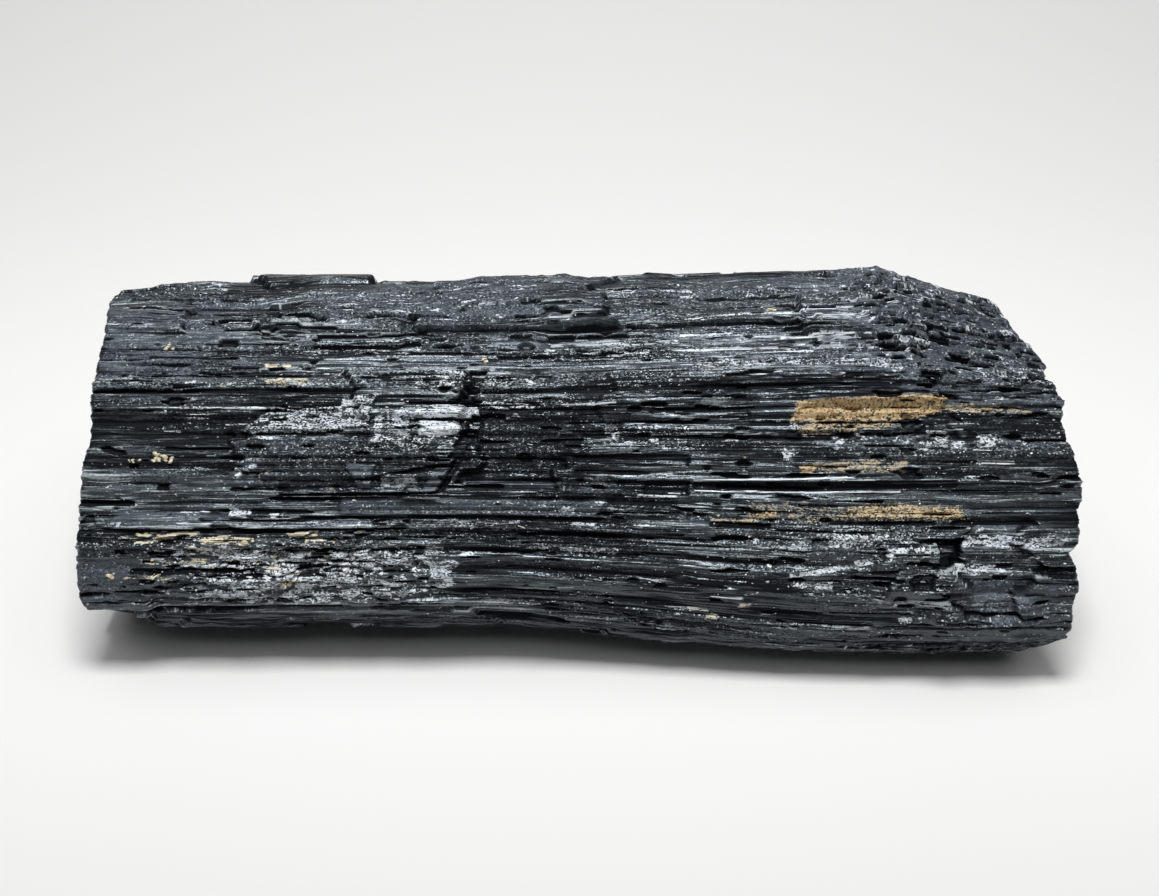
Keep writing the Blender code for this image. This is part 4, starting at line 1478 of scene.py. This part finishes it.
@dataclass(frozen=True)
class Scatter:
    """Small closed shapes that lie on the skin: copies of one template, each turned and sized."""

    name: str
    finish: GrainFinish
    template: tuple[Array, Array]
    seed: int
    flatness: tuple[float, float]
    sink: float
    patches: tuple[Patch, ...]
    turn: float = 0.35
    jitter: float = 0.16
    reach: int = 5

    def spots(self, marks: dict[str, Array], random: np.random.RandomState) -> tuple[Array, Array, Array]:
        """Draw the rows, the columns and the lengths of the copies."""
        drawn = [
            (random.uniform(patch.left, patch.right, patch.count),
             random.uniform(patch.low, patch.high, patch.count),
             patch.smallest * (patch.largest / patch.smallest) ** random.uniform(0, 1, patch.count) ** 1.5)
            for patch in self.patches]
        x, girth, length = (np.concatenate(part) for part in zip(*drawn))
        row = np.searchsorted(marks["girth"][:, 0], girth)
        start, end = marks[PLACE][row, 0, 0], marks[PLACE][row, -1, 0]
        last = marks["girth"].shape[1] - 1
        column = np.round((x - start) / (end - start) * last)
        column = np.clip(column, self.reach, last - self.reach).astype(int)
        return row, column, length

    def build(self, grid: Array, marks: dict[str, Array]) -> bpy.types.Object:
        """Put the copies on the skin.

        Each copy's axes are the skin's normal and two directions along it, turned by a random angle.

        Args:
            grid: the skin's points.
            marks: the skin's marks.

        Returns:
            The piece.
        """
        random = np.random.RandomState(self.seed)
        row, column, length = self.spots(marks, random)
        count = len(row)
        sizes = length[:, None] * np.array((1.0,) + self.flatness)
        spot = grid[row, column]
        along = grid[row, column + 4] - grid[row, column - 4]
        across = grid[row + self.reach, column] - grid[row - self.reach, column]
        along /= np.linalg.norm(along, axis=1, keepdims=True)
        normal = np.cross(along, across)
        normal /= np.linalg.norm(normal, axis=1, keepdims=True)
        turn = random.normal(0.0, self.turn, count)[:, None]
        first = along * np.cos(turn) + np.cross(normal, along) * np.sin(turn)
        second = np.cross(normal, first)
        corners, faces = self.template
        shift = random.uniform(-self.jitter, self.jitter, (count, len(corners), 3))
        shaken = (corners[None] + shift) * (sizes[:, None] / 2)
        middle = spot + normal * (sizes[:, 2:] * (0.5 - self.sink))
        points = (middle[:, None] + shaken[..., :1] * first[:, None]
                  + shaken[..., 1:2] * second[:, None] + shaken[..., 2:] * normal[:, None])
        points[..., 2] = np.maximum(points[..., 2], 0.0)
        offset = (np.arange(count) * len(corners))[:, None, None]
        piece = make_mesh(self.name, points.reshape(-1, 3), (faces[None] + offset).reshape(-1, 4), smooth=False)
        return dress(piece, self.finish.material())


def pebble() -> tuple[Array, Array]:
    """A cube whose corners are drawn in and whose faces are domed: 14 corners and 24 triangles.

    Returns:
        Corners from -1 to 1, and faces with their last corner repeated.
    """
    cube = np.array([[x, y, z] for z in (-1, 1) for y in (-1, 1) for x in (-1, 1)], float) * 0.62
    middles = np.array([[-1, 0, 0], [1, 0, 0], [0, -1, 0], [0, 1, 0], [0, 0, -1], [0, 0, 1]], float)
    sides = ((0, 4, 6, 2), (1, 3, 7, 5), (0, 1, 5, 4), (2, 6, 7, 3), (0, 2, 3, 1), (4, 5, 7, 6))
    faces = [(side[k], side[(k + 1) % 4], 8 + m, 8 + m) for m, side in enumerate(sides) for k in range(4)]
    return np.vstack([cube, middles]), np.array(faces)


def platelet() -> tuple[Array, Array]:
    """A flat six-sided plate, as mica cleaves: two rings of six corners and 8 faces in 12 rows.

    Returns:
        Corners from -1 to 1, and faces with their last corner repeated where they are triangles.
    """
    angle = np.arange(6) * np.pi / 3
    ring = np.stack([np.cos(angle), np.sin(angle)], 1)
    corners = np.vstack([np.column_stack([ring, np.full(6, side)]) for side in (-1.0, 1.0)])
    walls = [(k, (k + 1) % 6, 6 + (k + 1) % 6, 6 + k) for k in range(6)]
    lids = [(6, 7, 8, 9), (6, 9, 10, 11), (3, 2, 1, 0), (5, 4, 3, 0)]
    return corners, np.array(walls + lids)


CLAY_BITS = Scatter(
    "clay_bits", GrainFinish("dry_clay", (0.76, 0.70, 0.52), (0.48, 0.40, 0.25), 0.85), pebble(), 91,
    (0.7, 0.5), 0.3, (
        Patch(12, -78.6, -75.2, 76.4, 78.0, 0.7, 1.6), Patch(5, -83.4, -81, 76.0, 76.9, 0.4, 1.0),
        Patch(5, -87.0, -86, 53.0, 53.9, 0.6, 1.2), Patch(4, -79.6, -77, 101.0, 102.0, 0.6, 1.2),
        Patch(3, -18.4, -17.6, 97.6, 98.4, 0.6, 1.0), Patch(2, 36.6, 37.4, 109.6, 110.4, 0.9, 1.2),
        Patch(9, -69, -60, 60.6, 61.8, 0.5, 1.5), Patch(8, -80, -56, 55.6, 57.0, 0.4, 1.0),
        Patch(6, -80, -70, 62.0, 63.0, 0.4, 0.9), Patch(5, -58, -51, 91.6, 92.6, 0.3, 0.7),
        Patch(4, -50, -44, 60.8, 61.6, 0.4, 1.0), Patch(24, -90, 90, 48, 112, 0.25, 0.6)))
MICA_FLAKES = Scatter(
    "mica_flakes", GrainFinish("mica", (0.78, 0.79, 0.80), (0.34, 0.35, 0.37), 0.22), platelet(), 92,
    (0.42, 0.12), 0.3, (
        Patch(40, -80, -62, 47, 60, 0.3, 1.2), Patch(130, -62, -28, 48, 60, 0.3, 1.4),
        Patch(40, 28, 68, 55, 66, 0.3, 1.2), Patch(60, -56, -20, 80, 88, 0.3, 1.0),
        Patch(40, -52, -8, 108, 118, 0.3, 0.9), Patch(30, 56, 90, 90, 122, 0.3, 1.0),
        Patch(120, -90, 90, 42, 122, 0.3, 0.8)), jitter=0.38)
PALE_CRUMBS = Scatter(
    "pale_crumbs", GrainFinish("crumbs", (0.85, 0.85, 0.84), (0.45, 0.46, 0.47), 0.55), pebble(), 93,
    (0.8, 0.6), 0.2, (
        Patch(420, -90, 90, 44, 122, 0.14, 0.34), Patch(180, -80, -26, 47, 62, 0.2, 0.5),
        Patch(90, 20, 70, 55, 70, 0.2, 0.45), Patch(120, -56, 0, 84, 120, 0.18, 0.4)))
LINT = Scatter(
    "lint", GrainFinish("white_lint", (0.86, 0.86, 0.85), (0.70, 0.70, 0.69), 0.8), pebble(), 94,
    (0.10, 0.10), 0.0, (
        Patch(1, -10.9, -10.5, 63.8, 64.2, 1.6, 1.7), Patch(6, -60, 60, 50, 110, 0.8, 1.6)), turn=1.2)


# ---------------------------------------------------------------------------------------------
# The studio
# ---------------------------------------------------------------------------------------------


@dataclass
class Studio:
    """A pale sweep of paper, soft lights and the camera."""

    aim: tuple[float, float, float] = (0.0, 0.0, 0.029)
    distance: float = 0.322
    elevation: float = float(np.radians(35.0))
    lens: float = 50.0
    paper: Colour = (0.875, 0.875, 0.870)
    paper_front_shade: Colour = (0.66, 0.66, 0.655)
    paper_side: float = 2.0
    paper_edge: float = -1.6
    flat_rows: int = 12
    bend_start: float = 0.16
    bend_radius: float = 0.55
    world: float = 0.045

    def sweep(self) -> None:
        """Make the paper: flat, then an arc that rises behind, the same all along x."""
        flat = np.linspace(self.paper_edge, self.bend_start, self.flat_rows)
        angle = np.linspace(0.0, np.pi / 2, 40)[1:]
        y = np.concatenate([flat, self.bend_start + self.bend_radius * np.sin(angle)])
        z = np.concatenate([np.zeros(self.flat_rows), self.bend_radius * (1 - np.cos(angle))])
        x = np.linspace(-self.paper_side, self.paper_side, 9)
        points = np.stack(np.broadcast_arrays(x[None, :], y[:, None], z[:, None]), -1) / MM
        paper = make_mesh("paper_sweep", points.reshape(-1, 3), grid_faces(*points.shape[:2]))
        board = Board("studio_paper")
        along = board.node("ShaderNodeSeparateXYZ", {0: board.solid_place(1.0)})
        # Painted shade: the paper is darker towards the front.
        back = Value(board, along.outputs["Y"]).rise(-0.17, 0.03)
        board.feed(board.shader, {"Base Color": board.mix(back, self.paper_front_shade, self.paper)})
        board.shader.inputs["Roughness"].default_value = 0.9
        board.shader.inputs["Specular IOR Level"].default_value = 0.1
        paper.data.materials.append(board.material)

    def lamp(self, name: str, place: Sequence[float], power: float, size: tuple[float, float]) -> None:
        """Hang a soft box that faces the crystal.

        Args:
            name: the lamp's name.
            place: where it hangs, in metres.
            power: its power in watts.
            size: its two sides in metres.
        """
        data = bpy.data.lights.new(name, "AREA")
        data.shape = "RECTANGLE"
        data.size, data.size_y = size
        data.energy = power
        lamp = bpy.data.objects.new(name, data)
        towards = Vector(self.aim) - Vector(place)
        turn = towards.to_track_quat("-Z", "Y").to_matrix().to_4x4()
        lamp.matrix_world = Matrix.Translation(Vector(place)) @ turn
        bpy.context.scene.collection.objects.link(lamp)

    def camera(self) -> None:
        """Set up the camera at the front, looking down by the elevation."""
        data = bpy.data.cameras.new("camera")
        data.lens = self.lens
        data.clip_start = 0.01
        camera = bpy.data.objects.new("camera", data)
        back, up = np.cos(self.elevation) * self.distance, np.sin(self.elevation) * self.distance
        camera.location = (self.aim[0], self.aim[1] - back, self.aim[2] + up)
        camera.rotation_euler = (np.pi / 2 - self.elevation, 0.0, 0.0)
        bpy.context.scene.collection.objects.link(camera)
        bpy.context.scene.camera = camera

    def build(self) -> None:
        """Set up everything that isn't the crystal."""
        self.sweep()
        self.lamp("overhead_box", (0.0, -0.115, 0.62), 3.2, (0.22, 0.16))
        self.lamp("broad_box", (0.0, -0.085, 0.66), 2.5, (1.1, 0.8))
        self.camera()
        world = bpy.data.worlds.new("studio")
        world.use_nodes = True
        backdrop = world.node_tree.nodes["Background"]
        backdrop.inputs["Color"].default_value = (1.0, 1.0, 1.0, 1.0)
        backdrop.inputs["Strength"].default_value = self.world
        scene = bpy.context.scene
        scene.world = world
        scene.view_settings.view_transform = "Standard"


def main() -> None:
    """Build the crystal and the studio in order."""
    logging.basicConfig(level=logging.INFO)
    Studio().build()
    skin = Skin()
    grid, marks = skin.build(StriatedSchorl().material())
    ends = BrokenEnds(skin)
    broken = BrokenSchorl().material()
    for end in End:
        ends.build(end, grid, broken)
    for scatter in (CLAY_BITS, MICA_FLAKES, PALE_CRUMBS, LINT):
        scatter.build(grid, marks)


if __name__ == "__main__":
    main()
